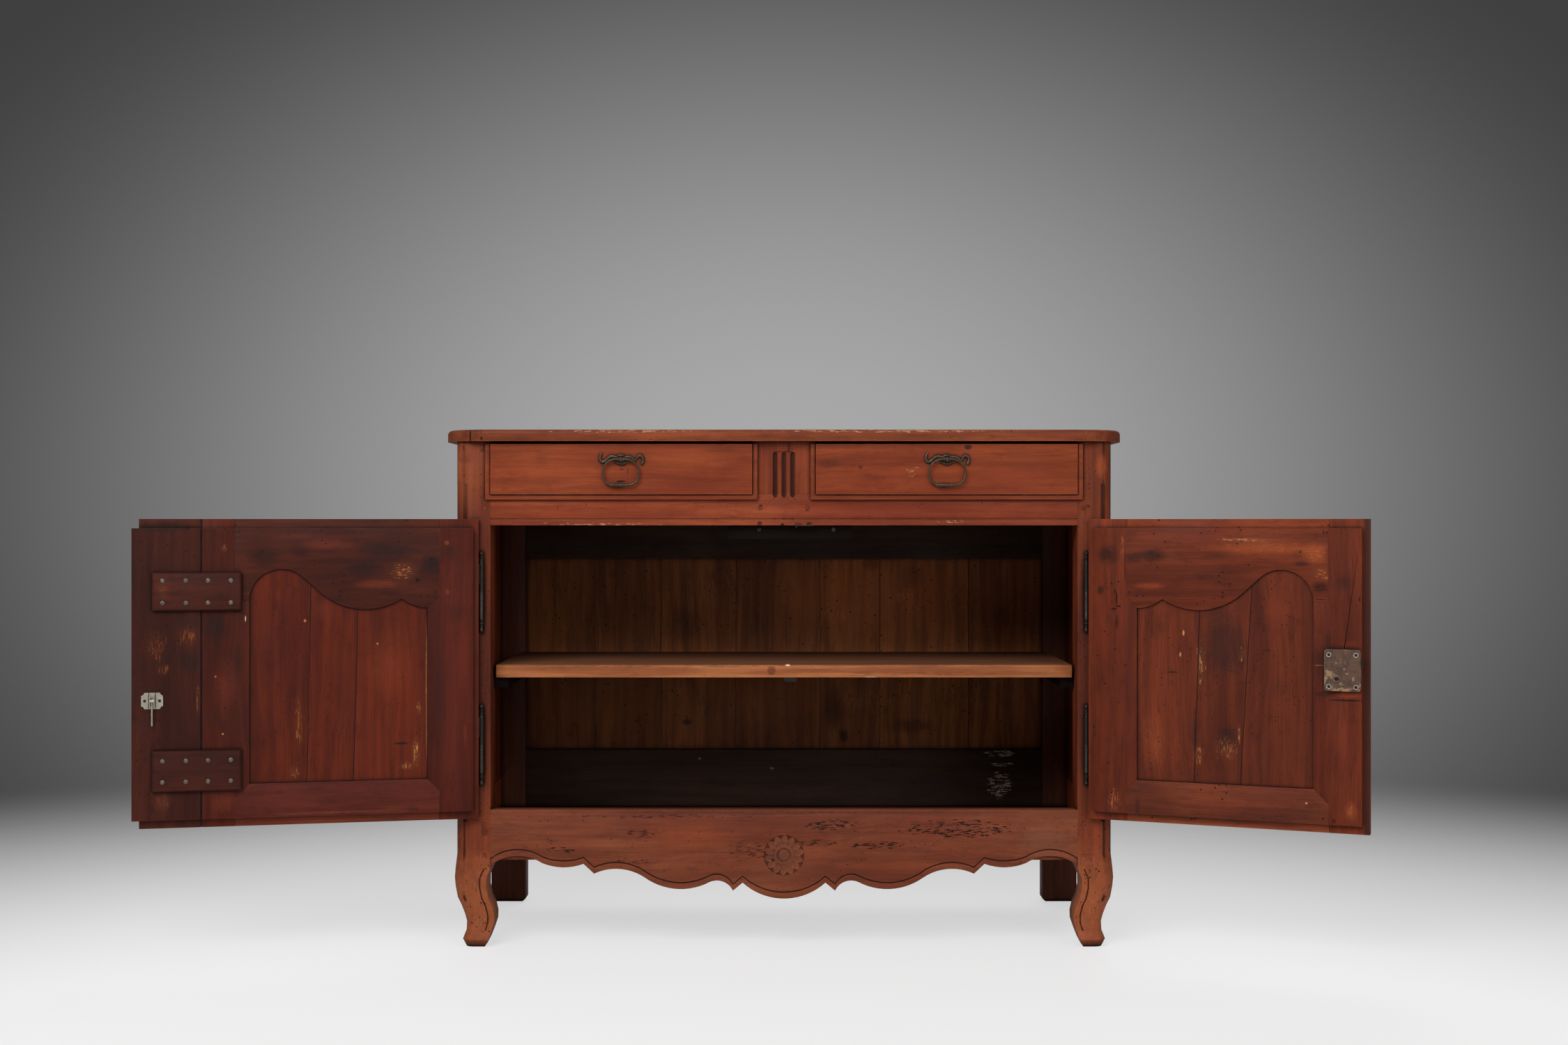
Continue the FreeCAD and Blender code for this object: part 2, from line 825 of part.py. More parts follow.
def make_catch_plate():
    x_range = (catch_plate_start, catch_plate_start + catch_plate_length)
    z_range = (door_rail_bottom - catch_plate_thickness, door_rail_bottom)
    plate = block(x_range, (front, front + catch_plate_depth), z_range)
    nib = block((x_range[0], x_range[0] + catch_plate_nib), (front, front + catch_plate_nib),
                (z_range[0] - catch_plate_nib, z_range[0]))
    save("rail_catch_plate", plate.fuse(nib))


def make_runners():
    """Runners under the drawer sides, and the guides beside them."""
    z_range = (door_rail_top - runner_height, door_rail_top)
    guide_z = (door_rail_top, door_rail_top + guide_height)
    y_range = (frame_back, back_post_front)
    post = block((-half_body, -half_opening), (front, post_back), (0, body_height))
    runner = block((-side_inner, -half_opening + runner_ledge), y_range, z_range).cut(post)
    guide = block((-side_inner, -half_opening), (post_back, back_post_front), guide_z)
    centre = block((-centre_runner_width / 2, centre_runner_width / 2), y_range, z_range)
    centre_guide = block((-half_divider, half_divider), (frame_back, back_post_front), guide_z)
    save("drawer_runners", runner, mirrored(runner), centre, guide, mirrored(guide), centre_guide)


# Hinges


def finial(z_from, way):
    """A finial that points up or down from a barrel's end: a neck, a bulb and a tip."""
    rings = []
    for height, neck, bulb in finial_shares:
        radius = hinge_neck_radius * neck + hinge_bulb_radius * bulb
        centre = V(hinge_x, hinge_y, z_from + way * hinge_finial_height * height)
        rings.append(many_sided(finial_sides, radius, centre, V(0, 0, 1), V(0, 1, 0)))
    return Part.makeLoft(rings, True, True)


def frame_hinge(z_low):
    """The lower half of a hinge: barrel, pin and the leaf let into the post."""
    z_mid = z_low + hinge_height / 2
    z0 = z_low + hinge_finial_height
    centre = V(hinge_x, hinge_y, 0)
    barrel = rod(hinge_barrel_radius, centre + V(0, 0, z0), centre + V(0, 0, z_mid - hinge_half_gap / 2))
    root = centre + V(0, 0, z_mid - hinge_half_gap)
    pin = rod(hinge_pin_radius, root, centre + V(0, 0, z_mid + hinge_pin_length))
    half = hinge_leaf_thickness / 2
    leaf = block((hinge_x - half, hinge_x + half), (hinge_y, front + hinge_leaf_length),
                 (z0, z0 + hinge_leaf_height))
    return barrel.fuse([pin, leaf, finial(z0, -1)])


def frame_leaf_slot(z_low):
    z0 = z_low + hinge_finial_height
    half = hinge_leaf_thickness / 2 + leaf_clearance
    return block((hinge_x - half, hinge_x + half), (front - overrun, front + hinge_leaf_length),
                 (z0, z0 + hinge_leaf_height))


def door_hinge(z_low):
    """The upper half of a hinge, drawn on the shut door."""
    z_mid = z_low + hinge_height / 2
    z1 = z_low + hinge_height - hinge_finial_height
    centre = V(hinge_x, hinge_y, 0)
    barrel = rod(hinge_barrel_radius, centre + V(0, 0, z_mid + hinge_half_gap / 2), centre + V(0, 0, z1))
    half = hinge_leaf_thickness / 2
    leaf = block((hinge_x, door_edge_x + hinge_leaf_length), (hinge_y - half, hinge_y + half),
                 (z1 - hinge_leaf_height, z1))
    bore = rod(hinge_pin_radius + running_clearance, centre + V(0, 0, z_mid),
               centre + V(0, 0, z_mid + hinge_pin_length + hinge_half_gap))
    return barrel.fuse([leaf, finial(z1, 1)]).cut(bore)


def door_leaf_slot(z_low):
    z1 = z_low + hinge_height - hinge_finial_height
    half = hinge_leaf_thickness / 2 + leaf_clearance
    return block((door_edge_x - overrun, door_edge_x + hinge_leaf_length), (hinge_y - half, hinge_y + half),
                 (z1 - hinge_leaf_height, z1))


# Doors, drawn shut on the left


def door_x(place):
    return door_edge_x + place


def door_y(depth):
    return hinge_y + depth


def swing(shape, angle):
    """Opens a shut left door piece by an angle."""
    turned = shape.copy()
    turned.rotate(V(hinge_x, hinge_y, 0), V(0, 0, 1), -angle)
    return turned


def arch_edges(grow):
    """The shaped top of the panel opening, wider and higher by grow: the cusp, the dip and the hump."""
    x0 = door_x(hinge_stile_width) - grow
    width = panel_width + 2 * grow

    def place(shares):
        return V(x0 + width * shares[0], 0, panel_shoulder + grow + panel_hump_rise * shares[1])

    start = [place(shares) for shares in cusp_shares]
    dip = [place(shares) for shares in dip_shares]
    hump = [place(shares) for shares in hump_shares]
    return arcs(start) + arcs(dip) + [line(dip[-1], hump[0])] + arcs(hump), start[0], hump[-1]


def panel_wire(grow, y):
    """The panel opening's outline at one depth, larger by grow all round."""
    edges, start, end = arch_edges(grow)
    low = bottom_rail_top - grow
    edges += [
        line(end, V(end.x, 0, low)),
        line(V(end.x, 0, low), V(start.x, 0, low)),
        line(V(start.x, 0, low), start),
    ]
    return Part.Wire(edges).translated(V(0, y, 0))


def door_slab(wire):
    return extrude_front(wire, door_y(door_face), door_y(door_inner))


def member(points):
    """A door member from its outline in places from the hinge edge and heights."""
    return door_slab(polygon([(door_x(place), z) for place, z in points]))


def hinge_stile_slab():
    w, m = hinge_stile_width, joint_mitre
    return member([
        (0, door_bottom),
        (w - m, door_bottom),
        (w - m, bottom_rail_top - m),
        (w, bottom_rail_top),
        (w, panel_shoulder),
        (w - m, panel_shoulder + m),
        (w - m, door_top),
        (0, door_top),
    ])


def meeting_stile_slab(width):
    w, m = panel_side, meeting_joint_width
    shoulder = panel_shoulder + panel_hump_rise * hump_shares[-1][1]
    return member([
        (width, door_bottom),
        (w + m, door_bottom),
        (w + m, bottom_rail_top - m),
        (w, bottom_rail_top),
        (w, shoulder),
        (w + m, shoulder),
        (w + m, door_top),
        (width, door_top),
    ])


def bottom_rail_slab():
    w0, m0 = hinge_stile_width, joint_mitre
    w1, m1 = panel_side, meeting_joint_width
    return member([
        (w0 - m0, door_bottom),
        (w1 + m1, door_bottom),
        (w1 + m1, bottom_rail_top - m1),
        (w1, bottom_rail_top),
        (w0, bottom_rail_top),
        (w0 - m0, bottom_rail_top - m0),
    ])


def top_rail_slab():
    edges, start, end = arch_edges(0)
    x0 = door_x(hinge_stile_width - joint_mitre)
    x1 = door_x(panel_side + meeting_joint_width)
    corners = [
        end,
        V(x1, 0, end.z),
        V(x1, 0, door_top),
        V(x0, 0, door_top),
        V(x0, 0, panel_shoulder + joint_mitre),
        start,
    ]
    return door_slab(Part.Wire(edges + [line(a, b) for a, b in zip(corners, corners[1:])]))


def rebate_cutter(body_end, width):
    """What is cut from behind the lip, all round a door whose body ends at body_end."""
    y_range = (door_y(door_lip_back), door_y(door_inner) + overrun)
    whole = block((door_x(0) - overrun, door_x(width) + overrun), y_range,
                  (door_bottom - overrun, door_top + overrun))
    start = -half_opening + door_side_clearance
    body = block((start, door_x(body_end)), y_range,
                 (door_body_bottom, door_body_top))
    return whole.cut(body)


def door_panel(joint_shares):
    """A panel of boards side by side, flat inside and fielded outside."""
    tongue_high = door_y(door_inner - door_tongue_setback)
    tongue_low = tongue_high - door_tongue_thickness
    inner_high = door_y(door_inner - door_panel_recess)
    field_low = inner_high - door_panel_thickness - door_tongue_setback
    tongue = extrude_front(panel_wire(panel_tongue, 0), tongue_low, tongue_high)
    inner = extrude_front(panel_wire(-panel_inner_gap, 0), tongue_high, inner_high)
    rims = [panel_wire(-panel_margin, tongue_low), panel_wire(-door_field_inset, field_low)]
    panel = tongue.fuse([inner, Part.makeLoft(rims, True, True)])
    places = [door_x(hinge_stile_width + panel_width * share) for share in joint_shares]
    boards = []
    for x0, x1 in zip(places, places[1:]):
        low = x0 - panel_tongue - overrun if x0 == places[0] else x0
        high = x1 + panel_tongue + overrun if x1 == places[-1] else x1
        strip = block((low, high), (door_y(door_face), door_y(door_inner)), (door_bottom, door_top))
        boards.append(panel.common(strip))
    return panel, boards


def door_frame(body_end, lip_end, joint_shares):
    """The four members of a door, with the panel's groove and the hinge slots cut."""
    panel, boards = door_panel(joint_shares)
    cutters = [rebate_cutter(body_end, lip_end), panel] + [door_leaf_slot(z) for z in hinge_heights]
    members = {
        "hinge_stile": hinge_stile_slab().cut(cutters),
        "meeting_stile": meeting_stile_slab(lip_end).cut(cutters),
        "top_rail": top_rail_slab().cut(cutters),
        "bottom_rail": bottom_rail_slab().cut(cutters),
        "panel": boards,
    }
    return members


def make_battens():
    battens = []
    x_range = (door_x(batten_start), door_x(batten_start + batten_length))
    y_range = (door_y(door_inner), door_y(door_inner + batten_thickness))
    for heights in batten_heights:
        batten = block(x_range, y_range, heights)
        rim = [edge for edge in batten.Edges if edge.BoundBox.YMin > sum(y_range) / 2]
        battens.append(batten.makeChamfer(batten_chamfer, rim))
    return battens


def false_stile():
    """The added centre stile: full thickness inside, rebated in front for the other door's lip."""
    x0 = door_x(door_frame_width + false_stile_gap)
    lip_y = (door_y(door_face), door_y(door_lip_back))
    lip = block((x0, door_x(false_stile_lip)), lip_y, (door_bottom, door_top))
    body = block((x0, door_x(left_door_width)), (door_y(door_lip_back), door_y(door_inner)),
                 (door_body_bottom, door_body_top))
    return lip.fuse(body)


def elbow_catch():
    """The nickel plate with two ears and a pin, and the hanging lever."""
    y0 = door_y(door_inner)
    x_mid = door_x(elbow_place)
    z_mid = elbow_bottom + elbow_height / 2
    half = elbow_width / 2
    plate = block((x_mid - half, x_mid + half), (y0, y0 + elbow_plate_thickness),
                  (elbow_bottom, elbow_bottom + elbow_height))
    notches = [
        rod(elbow_notch_radius, V(x_mid + a * half, y0 - overrun, z_mid + b * elbow_height / 2),
            V(x_mid + a * half, y0 + overrun, z_mid + b * elbow_height / 2))
        for a in (-1, 1)
        for b in (-1, 1)
    ]
    plate = plate.cut(notches)
    ear_z = (z_mid - elbow_ear_height / 2, z_mid + elbow_ear_height / 2)
    ear_y = (y0, y0 + elbow_ear_reach)
    inner = elbow_ear_gap / 2
    ears = [
        block((x_mid + inner, x_mid + inner + elbow_ear_thickness), ear_y, ear_z),
        block((x_mid - inner - elbow_ear_thickness, x_mid - inner), ear_y, ear_z),
    ]
    pivot = V(x_mid, y0 + elbow_pivot_reach, z_mid)
    reach = V(inner + elbow_ear_thickness, 0, 0)
    pin = rod(elbow_pin_radius, pivot - reach, pivot + reach)
    hub_half = V(inner - elbow_hub_gap, 0, 0)
    hub = rod(elbow_hub_radius, pivot - hub_half, pivot + hub_half)
    tail = rod(elbow_rod_radius, pivot, pivot - V(0, 0, elbow_rod_length))
    bore = rod(elbow_pin_radius + running_clearance, pivot - reach, pivot + reach)
    return plate.fuse(ears + [pin]), hub.fuse(tail).cut(bore)


def make_left_door(leaves):
    pieces = door_frame(door_frame_width + overrun, door_frame_width, left_panel_joint_shares)
    plate, lever = elbow_catch()
    pieces["false_stile"] = [false_stile()]
    pieces["battens"] = make_battens()
    pieces["hinge_halves"] = leaves
    pieces["elbow_catch"] = [plate]
    pieces["elbow_lever"] = [lever]
    for name, piece in pieces.items():
        group = piece if isinstance(piece, list) else [piece]
        save("left_door_" + name, *[swing(one, left_door_angle) for one in group])


# Lock on the right door, drawn shut on the left and mirrored later


def lock_pieces():
    y0 = door_y(door_inner)
    case = block((door_x(lock_start), door_x(lock_start + lock_width)), (y0, y0 + lock_thickness),
                 (lock_bottom, lock_bottom + lock_height))
    upright = [edge for edge in case.Edges if edge.BoundBox.YLength > lock_thickness / 2]
    case = case.makeFillet(lock_corner, upright)
    y1 = y0 + lock_thickness
    boss = rod(key_boss_radius, V(door_x(key_place), y1 - key_boss_rise, key_height),
               V(door_x(key_place), y1 + key_boss_rise, key_height))
    z0 = lock_bottom + bolt_rise
    tip = door_x(lock_start + lock_width + bolt_proud)
    bolt_x = (tip - bolt_length, tip)
    bolt_y = (y0 + bolt_lift, y0 + bolt_lift + bolt_thickness)
    bolt = block(bolt_x, bolt_y, (z0, z0 + bolt_height))
    c = bolt_clearance
    way_z = (z0 - c, z0 + bolt_height + c)
    way = block((bolt_x[0] - c, tip + overrun), (bolt_y[0] - c, bolt_y[1] + c), way_z)
    return case.fuse(boss).cut(way), bolt


def key_cutter():
    x = door_x(key_place)
    y_range = (door_y(door_face) - overrun, door_y(door_inner) + overrun)
    hole = rod(key_hole_radius, V(x, y_range[0], key_height), V(x, y_range[1], key_height))
    half = key_slot_width / 2
    slot = block((x - half, x + half), y_range, (key_height - key_slot_drop, key_height))
    return hole.fuse(slot)


def make_right_door(leaves):
    pieces = door_frame(right_body_width, right_lip_width, right_panel_joint_shares)
    pieces["meeting_stile"] = pieces["meeting_stile"].cut(key_cutter())
    case, bolt = lock_pieces()
    pieces["hinge_halves"] = leaves
    pieces["lock_case"] = case
    pieces["lock_bolt"] = bolt
    for name, piece in pieces.items():
        group = piece if isinstance(piece, list) else [piece]
        save("right_door_" + name, *[mirrored(swing(one, right_door_angle)) for one in group])


# Drawers, drawn on the left


def drawer_front():
    lip_y = (front - drawer_lip_gap - drawer_lip_thickness, front - drawer_lip_gap)
    lip = block((drawer_left, drawer_right), lip_y, (drawer_low, drawer_high))
    b = drawer_lip_border
    field_x = (drawer_left + b, drawer_right - b)
    field = block(field_x, (drawer_face, lip_y[0]), (drawer_low + b, drawer_high))
    body = block(
        (-half_opening + drawer_clearance, -half_divider - drawer_clearance),
        (lip_y[1], drawer_body_back),
        (door_rail_top + drawer_clearance, drawer_high),
    )
    line_y = (lip_y[0] - overrun, lip_y[0] + drawer_lip_line)
    at = b - drawer_lip_line
    upright_z = (drawer_low + at, drawer_high + overrun)
    lines = [
        block((drawer_left + at, drawer_left + b), line_y, upright_z),
        block((drawer_right - b, drawer_right - at), line_y, upright_z),
        block((drawer_left + at, drawer_right - at), line_y, (drawer_low + at, drawer_low + b)),
    ]
    return lip.fuse([field, body]).cut(lines)


def drawer_box():
    """Two sides, a back and the bottom board."""
    x0, x1 = -half_opening + drawer_clearance, -half_divider - drawer_clearance
    z0 = door_rail_top + drawer_slide_gap
    y_range = (drawer_body_back, back_post_front - drawer_back_gap)
    t = drawer_side_thickness
    z_side = (z0, z0 + drawer_side_height)
    sides = [block((x0, x0 + t), y_range, z_side), block((x1 - t, x1), y_range, z_side)]
    bottom_z = z0 + drawer_bottom_lift
    back_z = bottom_z + drawer_bottom_thickness
    bottom = block((x0 + t - drawer_groove, x1 - t + drawer_groove),
                   (y_range[0] - drawer_groove, y_range[1]), (bottom_z, back_z))
    rear = block((x0 + t, x1 - t), (y_range[1] - t, y_range[1]), (back_z, back_z + drawer_back_height))
    return [side.cut(bottom) for side in sides] + [rear], bottom


def ribbon(shares, width_shares, x, z):
    """A flat curved arm that narrows to its tip, from the shares of its centre line and of its width."""
    centres = [V(x + pull_half_width * a, drawer_face, z + pull_half_width * b) for a, b in shares]
    near, far = [], []
    last = len(centres) - 1
    for i, centre in enumerate(centres):
        along = centres[min(i + 1, last)] - centres[max(i - 1, 0)]
        side = along.cross(V(0, 1, 0)).normalize() * (pull_half_width * width_shares[i] / 2)
        near.append(centre + side)
        far.append(centre - side)
    far.reverse()
    outline = Part.Wire(arcs(near) + [line(near[-1], far[0])] + arcs(far) + [line(far[-1], near[0])])
    return Part.Face(outline).extrude(V(0, -pull_plate_thickness, 0))


def pull_plate():
    """The cast plate: two curved arms, a boss, a ball at one end, and the eye that holds the bail."""
    x, y, z = drawer_centre, drawer_face, pivot_z
    boss = rod(pull_boss_radius, V(x, y, z), V(x, y - pull_plate_thickness, z))
    left_arm = ribbon([(-a, b) for a, b in left_arm_shares], arm_width_shares, x, z)
    right_arm = ribbon(right_arm_shares, arm_width_shares, x, z)
    end_x = x + pull_half_width * right_arm_shares[-1][0]
    end_z = z + pull_half_width * right_arm_shares[-1][1]
    ball = rod(pull_ball_radius, V(end_x, y, end_z), V(end_x, y - pull_plate_thickness, end_z))
    half = eye_post_width / 2
    post = block((x - half, x + half), (pivot_y, y), (z - half, z + half))
    eye = rod(eye_radius, V(x - eye_width / 2, pivot_y, z), V(x + eye_width / 2, pivot_y, z))
    bore = rod(bail_radius + running_clearance, V(x - eye_width, pivot_y, z), V(x + eye_width, pivot_y, z))
    return boss.fuse([left_arm, right_arm, ball, post, eye]).cut(bore)


def bail():
    """A forged ring that hangs through the eye: wide shoulders, tight lower corners and a flat bottom."""
    x, y, z = drawer_centre, pivot_y, pivot_z
    section = Part.Face(many_sided(bail_sides, bail_radius, V(x, y, z), V(1, 0, 0), V(0, 1, 0)))
    lengths = []
    for side in (-1, 1):
        place, way = V(x, y, z), V(side, 0, 0)
        face = section
        step = way * (eye_width / 2)
        lengths.append(face.extrude(step))
        face = face.translated(step)
        place = place + step
        for radius in (bail_shoulder_radius, bail_side_radius, bail_corner_radius):
            inward = V(way.z * side, 0, -way.x * side)
            hub = place + inward * radius
            turn = bail_turn_angle * side
            lengths.append(face.revolve(hub, V(0, 1, 0), turn))
            face = face.copy()
            face.rotate(hub, V(0, 1, 0), turn)
            spin = FreeCAD.Rotation(V(0, 1, 0), turn)
            place = hub + spin.multVec(place - hub)
            way = spin.multVec(way)
        lengths.append(face.extrude(V(x - place.x, 0, 0)))
    half = bail_knuckle_length / 2
    knuckle = rod(bail_knuckle_radius, V(x - half, y, place.z), V(x + half, y, place.z))
    return lengths[0].fuse(lengths[1:] + [knuckle])


def make_drawers():
    box, bottom = drawer_box()
    front_piece = drawer_front().cut(bottom)
    shift = V(-2 * drawer_centre, 0, 0)
    pull = {"pull_plate": pull_plate(), "bail": bail()}
    wood = {"front": [front_piece], "box": box, "bottom": [bottom]}
    for name, group in wood.items():
        save("left_drawer_" + name, *group)
        save("right_drawer_" + name, *[mirrored(one) for one in group])
    for name, piece in pull.items():
        save("left_drawer_" + name, piece)
        save("right_drawer_" + name, piece.translated(shift))


def main():
    os.makedirs("parts", exist_ok=True)
    make_top()
    leg = make_front_frame()
    leg = make_sides_and_back(leg)
    leg = leg.cut([frame_leaf_slot(z) for z in hinge_heights])
    save("left_front_leg", leg)
    save("right_front_leg", mirrored(leg))
    make_floor()
    make_shelf()
    make_stop_block()
    make_catch_plate()
    make_runners()
    hinges = [frame_hinge(z) for z in hinge_heights]
    save("left_hinge_pins", *hinges)
    save("right_hinge_pins", *[mirrored(one) for one in hinges])
    leaves = [door_hinge(z) for z in hinge_heights]
    make_left_door(leaves)
    make_right_door(leaves)
    make_drawers()


main()
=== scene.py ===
import json
import math

import bpy
from mathutils import Matrix, Vector

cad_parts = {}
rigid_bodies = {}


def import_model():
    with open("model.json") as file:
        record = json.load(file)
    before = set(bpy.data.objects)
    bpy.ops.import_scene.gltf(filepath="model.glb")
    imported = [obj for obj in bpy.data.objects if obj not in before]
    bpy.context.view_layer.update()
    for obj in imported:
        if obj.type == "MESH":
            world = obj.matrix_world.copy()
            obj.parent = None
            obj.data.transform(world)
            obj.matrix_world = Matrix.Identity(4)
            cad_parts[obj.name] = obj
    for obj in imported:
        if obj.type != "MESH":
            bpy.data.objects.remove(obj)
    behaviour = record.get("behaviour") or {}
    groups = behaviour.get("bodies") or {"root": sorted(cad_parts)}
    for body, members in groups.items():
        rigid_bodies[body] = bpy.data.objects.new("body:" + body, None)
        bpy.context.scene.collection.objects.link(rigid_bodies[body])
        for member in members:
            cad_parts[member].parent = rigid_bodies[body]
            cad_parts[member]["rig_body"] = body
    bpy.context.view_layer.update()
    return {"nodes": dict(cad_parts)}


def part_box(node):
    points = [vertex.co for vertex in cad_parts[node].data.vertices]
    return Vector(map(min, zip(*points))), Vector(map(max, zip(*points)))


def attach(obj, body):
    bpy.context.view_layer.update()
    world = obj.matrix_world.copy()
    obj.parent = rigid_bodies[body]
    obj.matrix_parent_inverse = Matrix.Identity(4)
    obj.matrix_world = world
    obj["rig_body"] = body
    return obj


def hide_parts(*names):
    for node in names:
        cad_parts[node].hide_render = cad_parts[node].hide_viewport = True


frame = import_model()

scene = bpy.context.scene
MM = 0.001

# The camera stands level before the middle of the buffet
CAMERA_PLACE = (0.0, -4.165, 0.804)
CAMERA_LENS = 47.46
SENSOR_WIDTH = 36.0

# Doors: where the pins stand, and the turn from X of the line along each door from its pins
LEFT_HINGE = Vector((-569.5, -271.5, 0.0)) * MM
RIGHT_HINGE = Vector((569.5, -271.5, 0.0)) * MM
LEFT_TURN = -167.2
RIGHT_TURN = -24.0


def colour(red, green, blue):
    """A display colour as the linear one that a shader wants."""
    parts = [value / 255 for value in (red, green, blue)]
    return [p / 12.92 if p <= 0.04045 else ((p + 0.055) / 1.055) ** 2.4 for p in parts] + [1.0]


def deselect():
    bpy.ops.object.select_all(action="DESELECT")


def turned(degrees, axis):
    return Matrix.Rotation(math.radians(degrees), 4, axis)


def new_object(name, data):
    made = bpy.data.objects.new(name, data)
    scene.collection.objects.link(made)
    return made


deselect()


# Shader helpers


def add(tree, kind, links=None, **settings):
    """Adds a node, sets it, and gives its sockets values or links."""
    made = tree.nodes.new(kind)
    for key, value in settings.items():
        setattr(made, key, value)
    for key, value in (links or {}).items():
        if isinstance(value, bpy.types.NodeSocket):
            tree.links.new(value, made.inputs[key])
        else:
            made.inputs[key].default_value = value
    return made


def step(kind, links, **settings):
    """Adds a node to the tree of the sockets that it takes."""
    tree = next(value.id_data for value in links.values() if isinstance(value, bpy.types.NodeSocket))
    return add(tree, kind, links, **settings)


def use(group, links):
    """Places a group and gives its outputs."""
    return step("ShaderNodeGroup", links, node_tree=group).outputs


def calc(operation, first, second=0.0, clamp=False):
    links = {0: first, 1: second}
    return step("ShaderNodeMath", links, operation=operation, use_clamp=clamp).outputs[0]


def times(first, second):
    return calc("MULTIPLY", first, second)


def plus(first, second, clamp=False):
    return calc("ADD", first, second, clamp)


def minus(first, second):
    return calc("SUBTRACT", first, second)


def vector_calc(operation, first, second, result=0):
    return step("ShaderNodeVectorMath", {0: first, 1: second}, operation=operation).outputs[result]


def length(vector):
    return step("ShaderNodeVectorMath", {0: vector}, operation="LENGTH").outputs["Value"]


def axes(vector):
    return step("ShaderNodeSeparateXYZ", {0: vector}).outputs


def vector_of(*parts):
    return step("ShaderNodeCombineXYZ", dict(enumerate(parts))).outputs[0]


def object_place(tree):
    return add(tree, "ShaderNodeTexCoord").outputs["Object"]


def remap(value, low, high, to_low=0.0, to_high=1.0):
    links = {"Value": value, "From Min": low, "From Max": high, "To Min": to_low, "To Max": to_high}
    return step("ShaderNodeMapRange", links, interpolation_type="SMOOTHSTEP").outputs["Result"]


def blend(factor, first, second, way="MIX"):
    links = {0: factor, 6: first, 7: second}
    return step("ShaderNodeMix", links, data_type="RGBA", blend_type=way).outputs[2]


def painted(tone, mask, strength, paint):
    """The tone with a paint laid over it where the mask says."""
    return blend(times(mask, strength), tone, colour(*paint))


def noise(vector, scale, detail=2.0, roughness=0.5, distortion=0.0):
    links = {"Vector": vector, "Scale": scale, "Detail": detail, "Roughness": roughness,
             "Distortion": distortion}
    return step("ShaderNodeTexNoise", links).outputs[0]


def streaky(vector, along, across, *more):
    """Noise that is long along X."""
    return noise(vector_calc("MULTIPLY", vector, (along, across, across)), 1.0, *more)


VECTORS = ("Vector", "Grain", "Centre", "Reach")
COLOURS = ("Light", "Middle", "Dark", "Color")


def new_group(name, inputs, outputs):
    """An empty shader group with named sockets; gives its inputs and its output node."""
    tree = bpy.data.node_groups.new(name, "ShaderNodeTree")
    for way, labels in (("INPUT", inputs), ("OUTPUT", outputs)):
        for label in labels.split():
            kind = "Vector" if label in VECTORS else "Color" if label in COLOURS else "Float"
            tree.interface.new_socket(name=label, in_out=way, socket_type="NodeSocket" + kind)
    return tree.nodes.new("NodeGroupInput").outputs, tree.nodes.new("NodeGroupOutput")


def close_group(leave, **results):
    for label, socket in results.items():
        leave.id_data.links.new(socket, leave.inputs[label])
    return leave.id_data


def grain_group():
    """Timber: broad figure, fine streaks and short pores, all long along X."""
    given, leave = new_group("timber_grain", "Vector Light Middle Dark Figure Streaks Pores", "Color Height")
    place, dark = given["Vector"], given["Dark"]
    sway = streaky(place, 2.2, 7.0)
    shift = vector_of(0.0, times(sway, 0.05), times(sway, 0.03))
    bent = vector_calc("ADD", place, shift)
    broad = remap(streaky(place, 3.0, 9.0, 3.0, 0.6), 0.32, 0.68)
    figure = remap(streaky(bent, 2.4, 62.0, 4.0, 0.62), 0.34, 0.68)
    streak = streaky(bent, 12.0, 520.0, 3.0, 0.6)
    pore = remap(streaky(bent, 130.0, 1900.0, 1.0), 0.66, 0.74)
    cloud = streaky(place, 22.0, 48.0, 6.0, 0.72)
    lines = times(remap(streak, 0.42, 0.72), given["Streaks"])
    dots = times(pore, given["Pores"])
    tone = blend(times(broad, 0.75), given["Middle"], given["Light"])
    for mask in (remap(cloud, 0.5, 0.74, 0.0, 0.5), times(figure, given["Figure"]), lines, dots):
        tone = blend(mask, tone, dark)
    height = plus(times(streak, 0.6), times(broad, 0.8))
    height = minus(height, times(dots, 0.5))
    return close_group(leave, Color=tone, Height=height)


def age_group():
    """Where edges are rubbed bare, a mask also used for painted highlights; painted shade with dirt in
    corners; and the line of painted shade in a gap.
    """
    given, leave = new_group("age", "Vector Edge Corner Gap", "Worn Grime Line")
    sharp = add(leave.id_data, "ShaderNodeNewGeometry").outputs["Normal"]
    round_off = step("ShaderNodeBevel", {"Radius": given["Edge"]}, samples=4).outputs[0]
    facing = vector_calc("DOT_PRODUCT", sharp, round_off, "Value")
    # Rubbed edges; their lighter paint also stands for a painted highlight on the edges
    edge = remap(minus(1.0, facing), 0.02, 0.2)
    broken = remap(noise(given["Vector"], 38.0, 4.0, 0.7), 0.38, 0.66)
    patchy = remap(noise(given["Vector"], 14.0, 3.0, 0.6), 0.2, 0.7, 0.45, 1.0)

    def shut_in(reach, low, high):
        open_share = step("ShaderNodeAmbientOcclusion", {"Distance": reach}, samples=4).outputs["AO"]
        return remap(minus(1.0, open_share), low, high)

    # Painted shade in corners, broken into patches that also stand for dirt
    grime = times(shut_in(given["Corner"], 0.12, 0.75), patchy)
    # A narrow line of painted shade in gaps and crevices
    line = shut_in(given["Gap"], 0.1, 0.42)
    return close_group(leave, Worn=times(edge, broken), Grime=grime, Line=line)


def worm_group():
    """Round worm holes of several sizes, thick in some places and rare in others."""
    given, leave = new_group("worm_holes", "Vector Share", "Mask")
    cells = step("ShaderNodeTexVoronoi", {"Vector": given["Vector"], "Scale": 150.0}).outputs
    pick = step("ShaderNodeSeparateColor", {0: cells["Color"]}).outputs
    thick = remap(noise(given["Vector"], 22.0, 2.0), 0.42, 0.68)
    chosen = calc("LESS_THAN", pick[0], times(thick, given["Share"]))
    hole = calc("LESS_THAN", cells["Distance"], plus(times(pick[1], 0.14), 0.15))
    return close_group(leave, Mask=times(chosen, hole))


